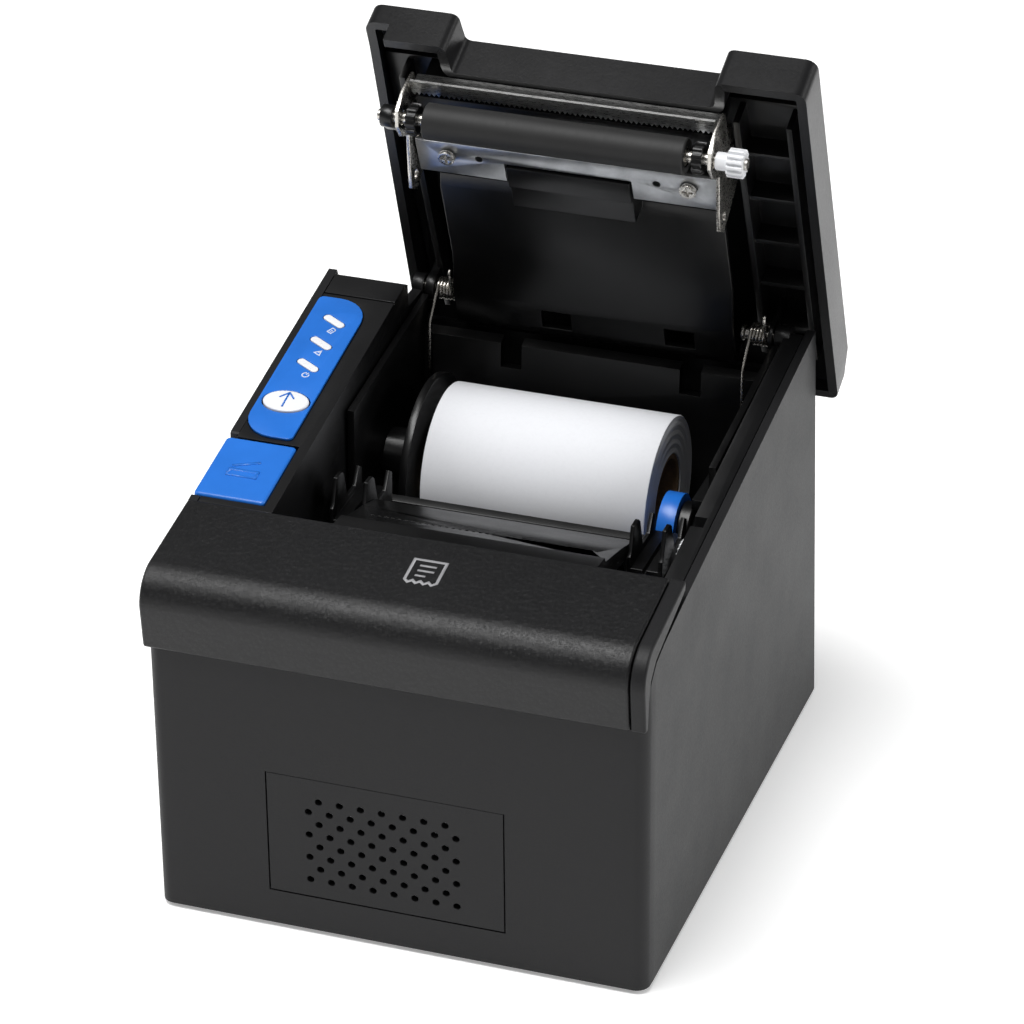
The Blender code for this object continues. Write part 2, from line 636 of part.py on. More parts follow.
def main_board():
    """Control board standing on the floor of the case, with its larger parts in one piece with it."""
    board = box("main_board", (-62.0, 62.0), (98.0, 155.0), (8.0, 9.6), BOARD)
    for name, x, y, height in (
        ("chip", (-20, -4), (118, 134), 1.6), ("capacitor", (30, 40), (125, 135), 13.0),
        ("driver", (8, 20), (108, 116), 2.4), ("header", (-50, -26), (102, 107), 7.0),
    ):
        fuse(board, box(f"board_{name}", x, y, (9.0, 9.6 + height), helper=True))


def speaker():
    """Small round speaker behind the front grille."""
    x, z = -3.5, 31.5
    frame = rod("speaker", 20.0, (x, WALL + 0.6, z), (x, WALL + 4.0, z), STEEL, sides=40)
    magnet = rod("speaker_magnet", 11.0, (x, WALL + 3, z), (x, WALL + 13.0, z), helper=True, sides=32)
    cone = rod("speaker_cone", 17.0, (x, 0.0, z), (x, WALL + 3.0, z), helper=True, sides=32, tip=7.0)
    fuse(frame, magnet)
    cut(frame, cone)


# ---------------------------------------------------------------- lid

def shut(y, z):
    """Hinge-frame (y, z) of a point given in the printer's frame with the lid shut."""
    dy, dz = y - HINGE_YZ[0], z - HINGE_YZ[1]
    c, s = cos(radians(SLOPE)), sin(radians(SLOPE))
    return (dy * c + dz * s, -dy * s + dz * c)


def lid_shell():
    """Outer lid: a shallow tray with two square ears at its front corners."""
    left, right = LID_X
    front, rear = LID_FRONT, LID_REAR
    plan = [
        (left, rear), (left, front), (left + EAR_W, front), (left + EAR_W + 1.0, front + EAR_STEP),
        (right - EAR_W - 1.0, front + EAR_STEP), (right - EAR_W, front), (right, front), (right, rear),
    ]
    shell = prism("lid_shell", plan, RIM_Z, LID_TOP, axis="Z", material=COVER_BLACK, parent=lid_pivot)
    slope = [(rear + 1.0, LID_TOP + 1), (rear - 9.0, LID_TOP + 1), (rear + 1.0, LID_TOP - 9.0)]
    cut(shell, prism("lid_rear_slope", slope, left - 1, right + 1, helper=True, parent=lid_pivot))
    wall = 2.8
    inside = [
        (left + wall, rear - wall), (left + wall, front + wall), (left + EAR_W - wall, front + wall),
        (left + EAR_W - wall + 1.0, front + EAR_STEP + wall),
        (right - EAR_W + wall - 1.0, front + EAR_STEP + wall),
        (right - EAR_W + wall, front + wall), (right - wall, front + wall), (right - wall, rear - wall),
    ]
    hollow = prism("lid_hollow", inside, RIM_Z - 5, LID_TOP - wall, axis="Z", helper=True, parent=lid_pivot)
    rear_skin = [(rear + 1.0, LID_TOP - 13.0), (rear + 1.0, LID_TOP + 1), (rear - 13.0, LID_TOP + 1)]
    cut(hollow, prism("rear_skin", rear_skin, left - 1, right + 1, helper=True, parent=lid_pivot))
    cut(shell, hollow)
    relief = [(LID_FRONT - 2, 0.0), (20.0, 0.0), (20.0, 11.8), (LID_FRONT - 2, 9.8)]
    cut(shell, prism("pod_relief", relief, left - 1, POD_X[1] + 0.8, helper=True, parent=lid_pivot))
    add_bevel(shell, 1.4, 2)


GUIDE_X = (-36.0, 50.0)
ARM_X = ((-46.2, -43.6), (59.7, 61.0))


def lid_inner_frame():
    """Inner panel of the lid, ribbed, with the two arms that carry the hinge."""
    left, right = LID_X
    top = LID_TOP - 2.8 - GAP
    plate = box("lid_inner_frame", (left + 3.2, right - 3.2), (-85.5, 14.5), (top - 1.6, top), INNER_BLACK,
                parent=lid_pivot)
    ribs = [("rib_left", (-44.6, -42.8), (-84.0, 13.0)), ("rib_right", (54.6, 56.4), (-84.0, 13.0)),
            ("rib_outer", (70.0, 71.6), (-84.0, 13.0)), ("rib_rear", (-50.8, 73.0), (12.0, 13.6))]
    for name, x, y in ribs:
        low = 11.8 if name == "rib_rear" else RIM_Z + 0.8
        fuse(plate, box(name, x, y, (low, top - 0.5), helper=True, parent=lid_pivot))
    for index in range(5):
        y = -70.0 + index * 18.0
        fuse(plate, box(f"web_{index}", (55.6, 71.0), (y - 0.7, y + 0.7), (6.0, top - 0.5), helper=True,
                        parent=lid_pivot))
    y, z = shut(*PLATEN_YZ)
    fuse(plate, box("tear_bar_rest", (-37.0, 51.0), (y - 1.6, y + 3.4), (z + 7.6, top - 0.5), helper=True,
                    parent=lid_pivot))
    for name, x in zip(("left", "right"), ARM_X):
        arm = box(f"{name}_arm", (x[0] + 0.1, x[1] - 0.1), (-3.6, 3.6), (0.0, top - 0.5), helper=True,
                  parent=lid_pivot)
        barrel = rod(f"{name}_barrel", 4.2, (x[0], 0, 0), (x[1], 0, 0), helper=True, parent=lid_pivot)
        fuse(plate, arm, barrel)
        cut(plate, rod(f"{name}_pin_bore", 1.85, (x[0] - 1, 0, 0), (x[1] + 1, 0, 0), helper=True,
                       parent=lid_pivot))


def lid_paper_guide():
    """Curved panel that the paper runs along under the lid, with two windows and a lip."""
    top = LID_TOP - 2.8 - GAP - 1.6 - GAP
    outline = [
        (-50.0, top), (-50.0, 1.0), (-46.0, -0.6), (-18.0, -1.4), (-6.0, -5.6), (6.0, -6.6), (8.6, -3.0),
        (8.8, 1.5), (11.0, 4.0), (11.0, top), (9.0, top), (9.0, 4.8), (6.8, 2.2), (6.8, -2.4), (5.0, -4.6),
        (-5.4, -3.8), (-17.6, 0.4), (-45.0, 1.2), (-47.6, 2.0), (-47.6, top),
    ]
    guide = prism("lid_paper_guide", outline, *GUIDE_X, material=INNER_BLACK, parent=lid_pivot)
    clip = box("guide_clip", (-11.4, 25.4), (-65.0, -57.0), (-7.2, -5.0), helper=True, parent=lid_pivot)
    tab = box("clip_tab", (-11.4, 25.4), (-58.2, -48.0), (-6.0, 1.4), helper=True, parent=lid_pivot)
    fuse(guide, clip, tab)
    for name, x in (("left_window", (-9.0, 0.0)), ("right_window", (29.0, 38.0))):
        cut(guide, box(name, x, (-3.0, 3.6), (-9.0, -2.6), helper=True, parent=lid_pivot))


def platen_bracket():
    """Pressed steel channel that carries the platen between its side plates."""
    bracket = prism(
        "platen_bracket",
        [(-71.0, -6.4), (-58.6, -6.4), (-58.6, 8.0), (-59.8, 8.0), (-59.8, -5.2), (-71.0, -5.2)],
        -38.2, 52.0, material=ZINC, parent=lid_pivot,
    )
    cut(bracket, box("clip_cutout", (-12.0, 26.0), (-65.5, -50.0), (-8, 2.0), helper=True, parent=lid_pivot))
    y = -66.0
    screw_places = (("left_bracket_screw", -29.0), ("right_bracket_screw", 43.0))
    holes = [(f"{name}_hole", x, 1.6) for name, x in screw_places]
    holes += [("left_spare_hole", -19.5, 1.2), ("right_spare_hole", 33.5, 1.2)]
    for name, x, radius in holes:
        cut(bracket, rod(name, radius, (x, y, -8), (x, y, -3), helper=True, sides=20, parent=lid_pivot))
    for name, x in screw_places:
        screw = rod(name, 2.5, (x, y, -8.1), (x, y, -6.7), STEEL, sides=24, parent=lid_pivot)
        fuse(screw, rod(f"{name}_shank", 1.3, (x, y, -7.0), (x, y, -1.5), helper=True, sides=16,
                        parent=lid_pivot))
        for turn, (half_x, half_y) in enumerate(((1.6, 0.35), (0.35, 1.6))):
            cut(screw, box(f"{name}_slot_{turn}", (x - half_x, x + half_x), (y - half_y, y + half_y),
                           (-9, -7.4), helper=True, parent=lid_pivot))


def side_plates():
    """Nickel-plated plates at the ends of the bracket, bored for the platen shaft."""
    y, z = shut(*PLATEN_YZ)
    outline = [
        (y + 2.0, 6.0), (y + 2.0, 2.6), (y - 5.4, 2.6), (y - 6.4, z + 4.0), (y - 4.6, z - 2.0), (y, z - 4.0),
        (y + 5.0, z - 2.6), (y + 9.0, z + 2.0), (y + 20.0, z - 1.6), (y + 26.0, z - 3.0), (y + 29.4, z),
        (y + 28.0, z + 5.0), (y + 24.6, 6.0),
    ]
    for name, x in (("left_side_plate", (-39.6, -38.6)), ("right_side_plate", (52.4, 53.4))):
        plate = prism(name, outline, x[0], x[1], material=STEEL, parent=lid_pivot)
        for label, centre, radius in (("shaft", (y, z), 2.2), ("upper", (y + 14.0, -2.0), 1.6),
                                      ("lower", (y + 24.4, z + 1.4), 1.5)):
            hole = rod(f"{name}_{label}_hole", radius, (x[0] - 1, *centre), (x[1] + 1, *centre),
                       helper=True, sides=24, parent=lid_pivot)
            cut(plate, hole)


def tear_bar():
    """Serrated steel strip at the lid's front edge, where the receipt is torn off."""
    y, z = shut(*PLATEN_YZ)
    root_y, front_y = y - 3.2, y - 7.2
    teeth, pitch, left = 60, 1.5, -38.0
    right = left + teeth * pitch
    outline = [(right, front_y), (left, front_y)]
    for tooth in range(teeth):
        outline.append((left + tooth * pitch, root_y))
        outline.append((left + (tooth + 0.5) * pitch, root_y + 1.1))
    outline.append((right, root_y))
    blade = prism("tear_bar", outline, z + 7.6, z + 8.4, axis="Z", material=STEEL, parent=lid_pivot)
    leg = box("tear_bar_leg", (left, right), (root_y - 1.0, root_y), (z + 7.6, z + 13.7), helper=True,
              parent=lid_pivot)
    fuse(blade, leg)


def platen():
    """Rubber feed roller on a steel shaft, with its bearings, gear and end lever."""
    y, z = shut(*PLATEN_YZ)
    left, right = PLATEN_X
    rubber = rod("platen_roller", PLATEN_R, (left, y, z), (right, y, z), RUBBER, sides=48, parent=lid_pivot)
    cut(rubber, rod("platen_bore", 3.05, (left - 1, y, z), (right + 1, y, z), helper=True, sides=24,
                    parent=lid_pivot))
    shaft = rod("platen_shaft", 2.9, (left + 0.2, y, z), (right - 0.2, y, z), STEEL, sides=24,
                parent=lid_pivot)
    fuse(shaft, rod("shaft_ends", 1.7, (-45.8, y, z), (63.0, y, z), helper=True, sides=24, parent=lid_pivot))
    for name, x in (("left_bearing", (-36.6, -33.6)), ("right_bearing", (47.6, 50.6))):
        ring = gear(name, 12, 4.6, 4.0, x, (y, z), INNER_BLACK, parent=lid_pivot)
        cut(ring, rod(f"{name}_bore", 1.78, (x[0] - 1, y, z), (x[1] + 1, y, z), helper=True, sides=24,
                      parent=lid_pivot))
    platen_gear = gear("platen_gear", 14, 4.2, 3.3, (57.6, 62.2), (y, z), WHITE, parent=lid_pivot)
    hub = rod("platen_gear_hub", 2.6, (54.0, y, z), (58.0, y, z), helper=True, sides=24, parent=lid_pivot)
    fuse(platen_gear, hub)
    cut(platen_gear, rod("platen_gear_bore", 1.78, (53, y, z), (64, y, z), helper=True, sides=24,
                         parent=lid_pivot))
    lever = prism(
        "latch_lever",
        arc((y, z), 3.3, 120, 330, 10) + [(y + 6.8, z + 1.0), (y + 6.4, z + 4.0), (y + 1.0, z + 4.0)],
        -44.6, -41.0, material=INNER_BLACK, parent=lid_pivot,
    )
    cut(lever, rod("latch_bore", 1.8, (-47, y, z), (-40, y, z), helper=True, sides=24, parent=lid_pivot))


def hinge(pod, rail):
    """Hinge pins, and the ears on the pod and on the rail that hold them."""
    y, z = HINGE_YZ
    ears = (("left_hinge_ear", (-50.6, -47.2)), ("right_hinge_ear", (61.5, 66.0)))
    for (name, x), pin_x, owner in zip(ears, ((-50.4, -36.3), (51.0, 64.2)), (pod, rail)):
        front = y - 22.0 if owner is pod else y - 3.2
        ear = box(name, (x[0] + 0.1, x[1] - 0.1), (front, y + 1.6), (118.0, z), helper=True)
        knuckle = rod(f"{name}_knuckle", 3.6, (x[0], y, z), (x[1], y, z), helper=True, sides=32)
        fuse(owner, ear, knuckle)
        side = name.split("_")[0]
        cut(owner, rod(f"{side}_ear_bore", 1.85, (x[0] - 1, y, z), (x[1] + 1, y, z), helper=True, sides=24))
        pin = rod(f"{side}_hinge_pin", 1.7, (pin_x[0], y, z), (pin_x[1], y, z), STEEL, sides=24)
        head_x = (pin_x[1] - 1.0, pin_x[1]) if side == "left" else (pin_x[0], pin_x[0] + 1.2)
        fuse(pin, rod(f"{side}_pin_head", 2.4, (head_x[0], y, z), (head_x[1], y, z), helper=True, sides=24))


def lid_springs():
    """Each torsion spring in two halves: one leg and half the coil on the case, the rest on the lid."""
    y, z = HINGE_YZ
    radius, thick, outer, inner, steps, swing = 2.9, 0.42, 2.5, 0.5, 24, 30.0
    for side, middle in zip(("left", "right"), SPRING_X):
        case_leg, lid_leg = [], []
        for step in range(steps + 1):
            along = (outer - inner) * step / steps
            angle = radians(165 - swing * step)
            case_leg.append((middle - outer + along, y + radius * cos(angle), z + radius * sin(angle)))
            angle = radians(270 + swing * (steps - step))
            lid_leg.append((middle + inner + along, radius * cos(angle), radius * sin(angle)))
        down = [(y - 10.3, z - 26.5), (y - 10.0, z - 8.0)]
        case_leg = [(middle - outer, *place) for place in down] + case_leg
        lid_leg.append((middle + outer, -11.0, -radius))
        wire(f"{side}_spring_case_leg", case_leg, thick, STEEL)
        wire(f"{side}_spring_lid_leg", lid_leg, thick, STEEL, parent=lid_pivot)


def build():
    global printer_origin, lid_pivot
    clear_scene()
    printer_origin = bpy.data.objects.new("printer_origin", None)
    parts.objects.link(printer_origin)
    printer_origin.location = (-ORIGIN_X * MM, -ORIGIN_Y * MM, 0.0)
    lid_pivot = bpy.data.objects.new("lid_pivot", None)
    parts.objects.link(lid_pivot)
    lid_pivot.parent = printer_origin
    lid_pivot.location = Vector((0.0, *HINGE_YZ)) * MM
    lid_pivot.rotation_euler = (radians(SLOPE - OPEN_ANGLE), 0.0, 0.0)
    lower_housing()
    bottom_plate()
    feet()
    rear_panel()
    rear_sockets()
    front_cover()
    rail = side_rail()
    pod = control_pod()
    indicator_panel()
    push_button()
    bay = paper_bay()
    bay_walls(bay)
    roll_guides(bay)
    paper_roll()
    frame = mechanism_frame()
    cradles()
    print_head()
    drive_train(frame)
    near_end_adjuster(bay)
    main_board()
    speaker()
    lid_shell()
    lid_inner_frame()
    lid_paper_guide()
    platen_bracket()
    side_plates()
    tear_bar()
    platen()
    hinge(pod, rail)
    lid_springs()


build()
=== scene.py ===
from math import atan2, cos, hypot, pi, radians, sin, tan

import bmesh
import bpy
import numpy as np
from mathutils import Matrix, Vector


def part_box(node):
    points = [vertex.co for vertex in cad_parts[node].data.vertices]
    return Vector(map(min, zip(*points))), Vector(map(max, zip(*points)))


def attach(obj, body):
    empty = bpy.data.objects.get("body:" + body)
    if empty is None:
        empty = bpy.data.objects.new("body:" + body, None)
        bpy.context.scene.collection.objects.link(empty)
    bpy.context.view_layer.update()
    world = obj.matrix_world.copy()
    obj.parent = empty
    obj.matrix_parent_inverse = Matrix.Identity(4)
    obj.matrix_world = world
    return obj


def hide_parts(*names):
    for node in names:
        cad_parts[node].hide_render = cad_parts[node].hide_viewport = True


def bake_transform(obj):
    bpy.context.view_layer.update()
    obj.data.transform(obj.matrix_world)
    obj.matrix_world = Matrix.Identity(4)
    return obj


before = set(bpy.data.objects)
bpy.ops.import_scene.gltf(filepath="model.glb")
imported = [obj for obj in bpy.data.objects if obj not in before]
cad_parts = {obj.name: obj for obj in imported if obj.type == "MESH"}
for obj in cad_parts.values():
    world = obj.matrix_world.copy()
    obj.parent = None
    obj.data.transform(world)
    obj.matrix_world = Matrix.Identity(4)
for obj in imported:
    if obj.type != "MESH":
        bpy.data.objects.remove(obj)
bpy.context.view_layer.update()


# ---------------------------------------------------------------- lower case

# The lower case is one deep moulding in charcoal ABS with a fine eroded grain. It wraps round
# the front and both sides as a wall of even thickness, leans out slightly to the front, and
# has an opening in its front for the speaker grille.

MM = 0.001
CASE_DEPTH = 174.0
CASE_LOW, CASE_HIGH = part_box("lower_housing")
DATUM = np.array([(CASE_LOW.x + CASE_HIGH.x) / 2, CASE_HIGH.y - CASE_DEPTH * MM, 0.0])
HALF_WIDTH = (CASE_HIGH.x - CASE_LOW.x) / 2 / MM
CASE_FOOT = CASE_LOW.z / MM
CASE_WALL = 2.6
CASE_CORNER = 4.0
FRONT_LEAN = 2.3
SEAM = 86.6
REAR_TOP = 160.4
GRILLE_X = (-38.6, 31.6)
GRILLE_Z = (12.4, 52.0)
MIDDLE_BAND = (0.3, 0.7)


def in_place(points):
    """Millimetres from the middle of the case's front foot, as metres in the frame."""
    return np.asarray(points, float) * MM + DATUM


def corners_of(node):
    """A node's low and high corners, in millimetres from the middle of the case's front foot."""
    return [(np.array(corner) - DATUM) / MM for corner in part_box(node)]


def axis_between(low, high):
    """(y, z) half way between two corners, where an axis along X runs."""
    return ((low[1] + high[1]) / 2, (low[2] + high[2]) / 2)


def quads(rows, columns, joined=False):
    """Quads of a grid numbered row by row: a point, the next along, and the two above them."""
    row = np.arange(rows - 1)[:, None] * columns
    here = np.arange(columns if joined else columns - 1)
    along = (here + 1) % columns
    corners = np.stack([row + here, row + along, row + columns + along, row + columns + here], axis=-1)
    return corners.reshape(-1, 4)


def capped(rows, columns):
    """Quads of a grid joined round, with one flat face over each end."""
    last = (rows - 1) * columns
    ends = [list(range(columns))[::-1], list(range(last, last + columns))]
    return [*quads(rows, columns, joined=True).tolist(), *ends]


def make_piece(name, points, faces, finish, body, slot, stands_for=(), closed=True, sharp=0):
    """A mesh of points in millimetres, merged, facing out, finished and riding on its body.

    Edges that turn by more than sharp degrees stay hard; 0 leaves them all smooth.
    """
    mesh = bpy.data.meshes.new(name)
    mesh.from_pydata(in_place(points).tolist(), [], [list(face) for face in faces])
    built = bmesh.new()
    built.from_mesh(mesh)
    bmesh.ops.remove_doubles(built, verts=built.verts, dist=0.002 * MM)
    if closed:
        bmesh.ops.recalc_face_normals(built, faces=built.faces)
    else:
        built.normal_update()
        middle = sum((v.co for v in built.verts), Vector()) / len(built.verts)
        facing = sum(f.normal.dot(f.calc_center_median() - middle) * f.calc_area() for f in built.faces)
        if facing < 0:
            bmesh.ops.reverse_faces(built, faces=built.faces)
    built.to_mesh(mesh)
    built.free()
    mesh.shade_smooth()
    piece = bpy.data.objects.new(name, mesh)
    bpy.context.scene.collection.objects.link(piece)
    mesh.materials.append(finish)
    if body:
        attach(piece, body)
    if stands_for:
        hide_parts(*stands_for)
    if sharp:
        mesh.set_sharp_from_angle(angle=radians(sharp))
    return piece


def give_wall(piece, thickness, even=True):
    """Thickens an open sheet inwards from its outside face, by millimetres."""
    wall = piece.modifiers.new("wall", "SOLIDIFY")
    wall.thickness = thickness * MM
    wall.offset = -1.0
    wall.use_even_offset = even


def round_edges(piece, width, segments=3, angle=32):
    """Rounds the edges where two faces meet at more than the angle, in degrees."""
    edge = piece.modifiers.new("rounded_edges", "BEVEL")
    edge.width = width * MM
    edge.segments = segments
    edge.limit_method = "ANGLE"
    edge.angle_limit = radians(angle)
    edge.harden_normals = True


def add_node(material, kind, **settings):
    """A shader node with its inputs, or else its own settings, given by name."""
    node = material.node_tree.nodes.new(kind)
    for socket, value in settings.items():
        if socket in node.inputs:
            node.inputs[socket].default_value = value
        else:
            setattr(node, socket, value)
    return node


def new_finish(name, socket, value):
    """A material with one input of its shader set, its link function and the piece's coordinates."""
    material = bpy.data.materials.new(name)
    material.use_nodes = True
    shader = material.node_tree.nodes["Principled BSDF"]
    shader.inputs[socket].default_value = value
    return material, material.node_tree.links.new, add_node(material, "ShaderNodeTexCoord")


def shade_by(material, source, colour, dark, light, positions=(0.0, 1.0)):
    """Base colour by a value: the colour times dark at the first position, times light at the second."""
    shade = add_node(material, "ShaderNodeValToRGB")
    for stop, position, factor in zip(shade.color_ramp.elements, positions, (dark, light)):
        stop.position = position
        stop.color = (*(min(c * factor, 1) for c in colour), 1)
    material.node_tree.links.new(source, shade.inputs["Fac"])
    shader = material.node_tree.nodes["Principled BSDF"]
    material.node_tree.links.new(shade.outputs["Color"], shader.inputs["Base Color"])


def gloss_by(material, source, first, last, reach=(0.0, 1.0)):
    """Roughness by a value: a straight line from first to last as the value crosses its reach."""
    gloss = add_node(material, "ShaderNodeMapRange")
    for socket, value in zip(("From Min", "From Max", "To Min", "To Max"), (*reach, first, last)):
        gloss.inputs[socket].default_value = value
    material.node_tree.links.new(source, gloss.inputs["Value"])
    shader = material.node_tree.nodes["Principled BSDF"]
    material.node_tree.links.new(gloss.outputs["Result"], shader.inputs["Roughness"])


def relief_by(material, source, strength, depth):
    """A raised surface by a value, as a bump of the given strength and depth in millimetres."""
    bump = add_node(material, "ShaderNodeBump", Strength=strength, Distance=depth * MM)
    material.node_tree.links.new(source, bump.inputs["Height"])
    shader = material.node_tree.nodes["Principled BSDF"]
    material.node_tree.links.new(bump.outputs["Normal"], shader.inputs["Normal"])


def moulded_plastic(name, colour, roughness, grain, relief, spread=0.10, patch=18.0, specular=0.5):
    """Moulded plastic: a grain of the given size and relief, with faint patches of shade and gloss.

    Sizes are in millimetres. The grain is noise bent by its own distortion, so it looks like the
    short worms of an eroded mould.
    """
    material, link, place = new_finish(name, "Specular IOR Level", specular)
    fine = add_node(material, "ShaderNodeTexNoise", Scale=1 / (grain * MM), Detail=3.0, Distortion=0.7)
    broad = add_node(material, "ShaderNodeTexNoise", Scale=1 / (patch * MM), Detail=4.0)
    link(place.outputs["Object"], fine.inputs["Vector"])
    link(place.outputs["Object"], broad.inputs["Vector"])
    shade_by(material, broad.outputs["Fac"], colour, 1 - spread, 1 + spread, MIDDLE_BAND)
    both = add_node(material, "ShaderNodeMath", operation="ADD")
    half = add_node(material, "ShaderNodeMath", operation="MULTIPLY")
    half.inputs[1].default_value = 0.5
    link(fine.outputs["Fac"], both.inputs[0])
    link(broad.outputs["Fac"], both.inputs[1])
    link(both.outputs[0], half.inputs[0])
    gloss_by(material, half.outputs[0], roughness - 0.05, roughness + 0.05, MIDDLE_BAND)
    relief_by(material, fine.outputs["Fac"], 1.0, relief)
    return material


CHARCOAL = moulded_plastic("charcoal_eroded", (0.0100, 0.0100, 0.0108), 0.50, 0.75, 0.045, specular=0.25)

# Height of the side walls' top edge against depth, from the seam round under the cover and
# up the slope. The left wall steps up beside the control pod and down round the lid button.
SIDE_TOP = [(-2.3, SEAM), (-0.9, 95.0), (0.6, 100.6), (4.4, 104.4), (12.0, 106.6), (28.0, 109.5),
            (REAR_TOP, 130.1)]
POD_FRONT = (31.0, 115.0)
POD_SLOPE = radians(10.62)
WELL_ALONG = (2.7, 30.5)
WELL_DEPTH = 11.2
POD_REAR = 143.0
LOW_REAR = 125.3


def pod_height(y):
    """Height of the control pod's sloping top at depth y: a straight line from its front edge."""
    return POD_FRONT[1] + (y - POD_FRONT[0]) * tan(POD_SLOPE)


def left_top():
    """The right wall's top edge, with the pod's step and the notch for the lid button let into it."""
    low, high = (POD_FRONT[0] + a * cos(POD_SLOPE) for a in WELL_ALONG)
    low_foot, high_foot = (y + WELL_DEPTH * sin(POD_SLOPE) for y in (low, high))
    drop = WELL_DEPTH * cos(POD_SLOPE)
    return SIDE_TOP[:6] + [
        (30.9, 109.9), (31.0, POD_FRONT[1]), (low, pod_height(low)), (low_foot, pod_height(low) - drop),
        (high_foot, pod_height(high) - drop), (high_foot + 0.05, pod_height(high)),
        (POD_REAR, pod_height(POD_REAR)), (146.2, 127.9), (146.8, LOW_REAR), (REAR_TOP, LOW_REAR),
    ]


def case_wall():
    """The wall round the front and sides, ruled from the foot of the case up to its top edge.

    Columns run from the left rear corner round two quarter circles to the right rear corner;
    rows run up in equal shares of each column's height.
    """
    side_y = np.concatenate([np.linspace(CASE_CORNER - FRONT_LEAN, REAR_TOP, 60),
                             *(np.array(top)[:, 0] for top in (left_top(), SIDE_TOP))])
    side_y = np.unique(np.round(side_y, 2))
    side_y = side_y[side_y >= CASE_CORNER - FRONT_LEAN]
    turn = np.linspace(0, pi / 2, 9)[1:]
    into = CASE_CORNER * (1 - np.sin(turn)) - FRONT_LEAN
    across = np.unique(np.concatenate([np.linspace(-HALF_WIDTH + CASE_CORNER, HALF_WIDTH - CASE_CORNER,
                                                   24), GRILLE_X]))
    left_x = np.concatenate([np.full(len(side_y), -HALF_WIDTH),
                             -HALF_WIDTH + CASE_CORNER * (1 - np.cos(turn))])
    left_y = np.concatenate([side_y[::-1], into])
    x = np.concatenate([left_x, across[1:-1], -left_x[::-1]])
    top_y = np.concatenate([left_y, np.full(len(across) - 2, -FRONT_LEAN), left_y[::-1]])
    left_z = np.interp(left_y, *zip(*left_top()))
    right_z = np.interp(left_y[::-1], *zip(*SIDE_TOP))
    top_z = np.concatenate([left_z, np.full(len(across) - 2, SEAM), right_z])
    foot_y = (top_y + FRONT_LEAN) * CASE_DEPTH / (REAR_TOP + FRONT_LEAN)
    share = np.unique(np.round(np.concatenate([np.linspace(0, 1, 12),
                                               (np.array(GRILLE_Z) - CASE_FOOT) / (SEAM - CASE_FOOT)]), 5))
    rise = share[:, None]
    points = np.stack([x + 0 * rise, foot_y + (top_y - foot_y) * rise,
                       CASE_FOOT + (top_z - CASE_FOOT) * rise], axis=-1)
    faces = quads(len(share), len(x))
    centre = points.reshape(-1, 3)[faces].mean(axis=1)
    opening = (
        (centre[:, 1] < 0.5) & (centre[:, 0] > GRILLE_X[0]) & (centre[:, 0] < GRILLE_X[1])
        & (centre[:, 2] > GRILLE_Z[0]) & (centre[:, 2] < GRILLE_Z[1])
    )
    return points.reshape(-1, 3), faces[~opening]


lower_case = make_piece("lower_case", *case_wall(), CHARCOAL, "case", "charcoal_plastic",
                        ["lower_housing"], closed=False)
give_wall(lower_case, CASE_WALL, even=False)
round_edges(lower_case, 0.55)


# ---------------------------------------------------------------- speaker grille

# The grille is a panel of the same plastic set flush into the front behind a fine gap on its
# left, right and lower edges, with sixty round holes in eight staggered rows.

HOLE_PITCH = (6.2, 3.75)
HOLE_RADIUS = 1.05
HOLE_ROWS = 8
FIRST_HOLE = (-26.0, 18.5)
GRILLE_GAP = 0.4


def hole_tile():
    """A rectangle with a round hole: its outline, and the same directions on the circle."""
    half_x, half_z = HOLE_PITCH[0] / 2, HOLE_PITCH[1] / 2
    steps_x, steps_z = np.linspace(-1, 1, 5)[:-1] * half_x, np.linspace(-1, 1, 5)[:-1] * half_z
    edge = np.concatenate([
        np.stack([steps_x, np.full(4, -half_z)], -1), np.stack([np.full(4, half_x), steps_z], -1),
        np.stack([-steps_x, np.full(4, half_z)], -1), np.stack([np.full(4, -half_x), -steps_z], -1),
    ])
    bearing = np.arctan2(edge[:, 1], edge[:, 0])
    circle = HOLE_RADIUS * np.stack([np.cos(bearing), np.sin(bearing)], -1)
    return np.concatenate([edge, (edge + 3 * circle) / 4, circle]), quads(3, len(edge), joined=True)


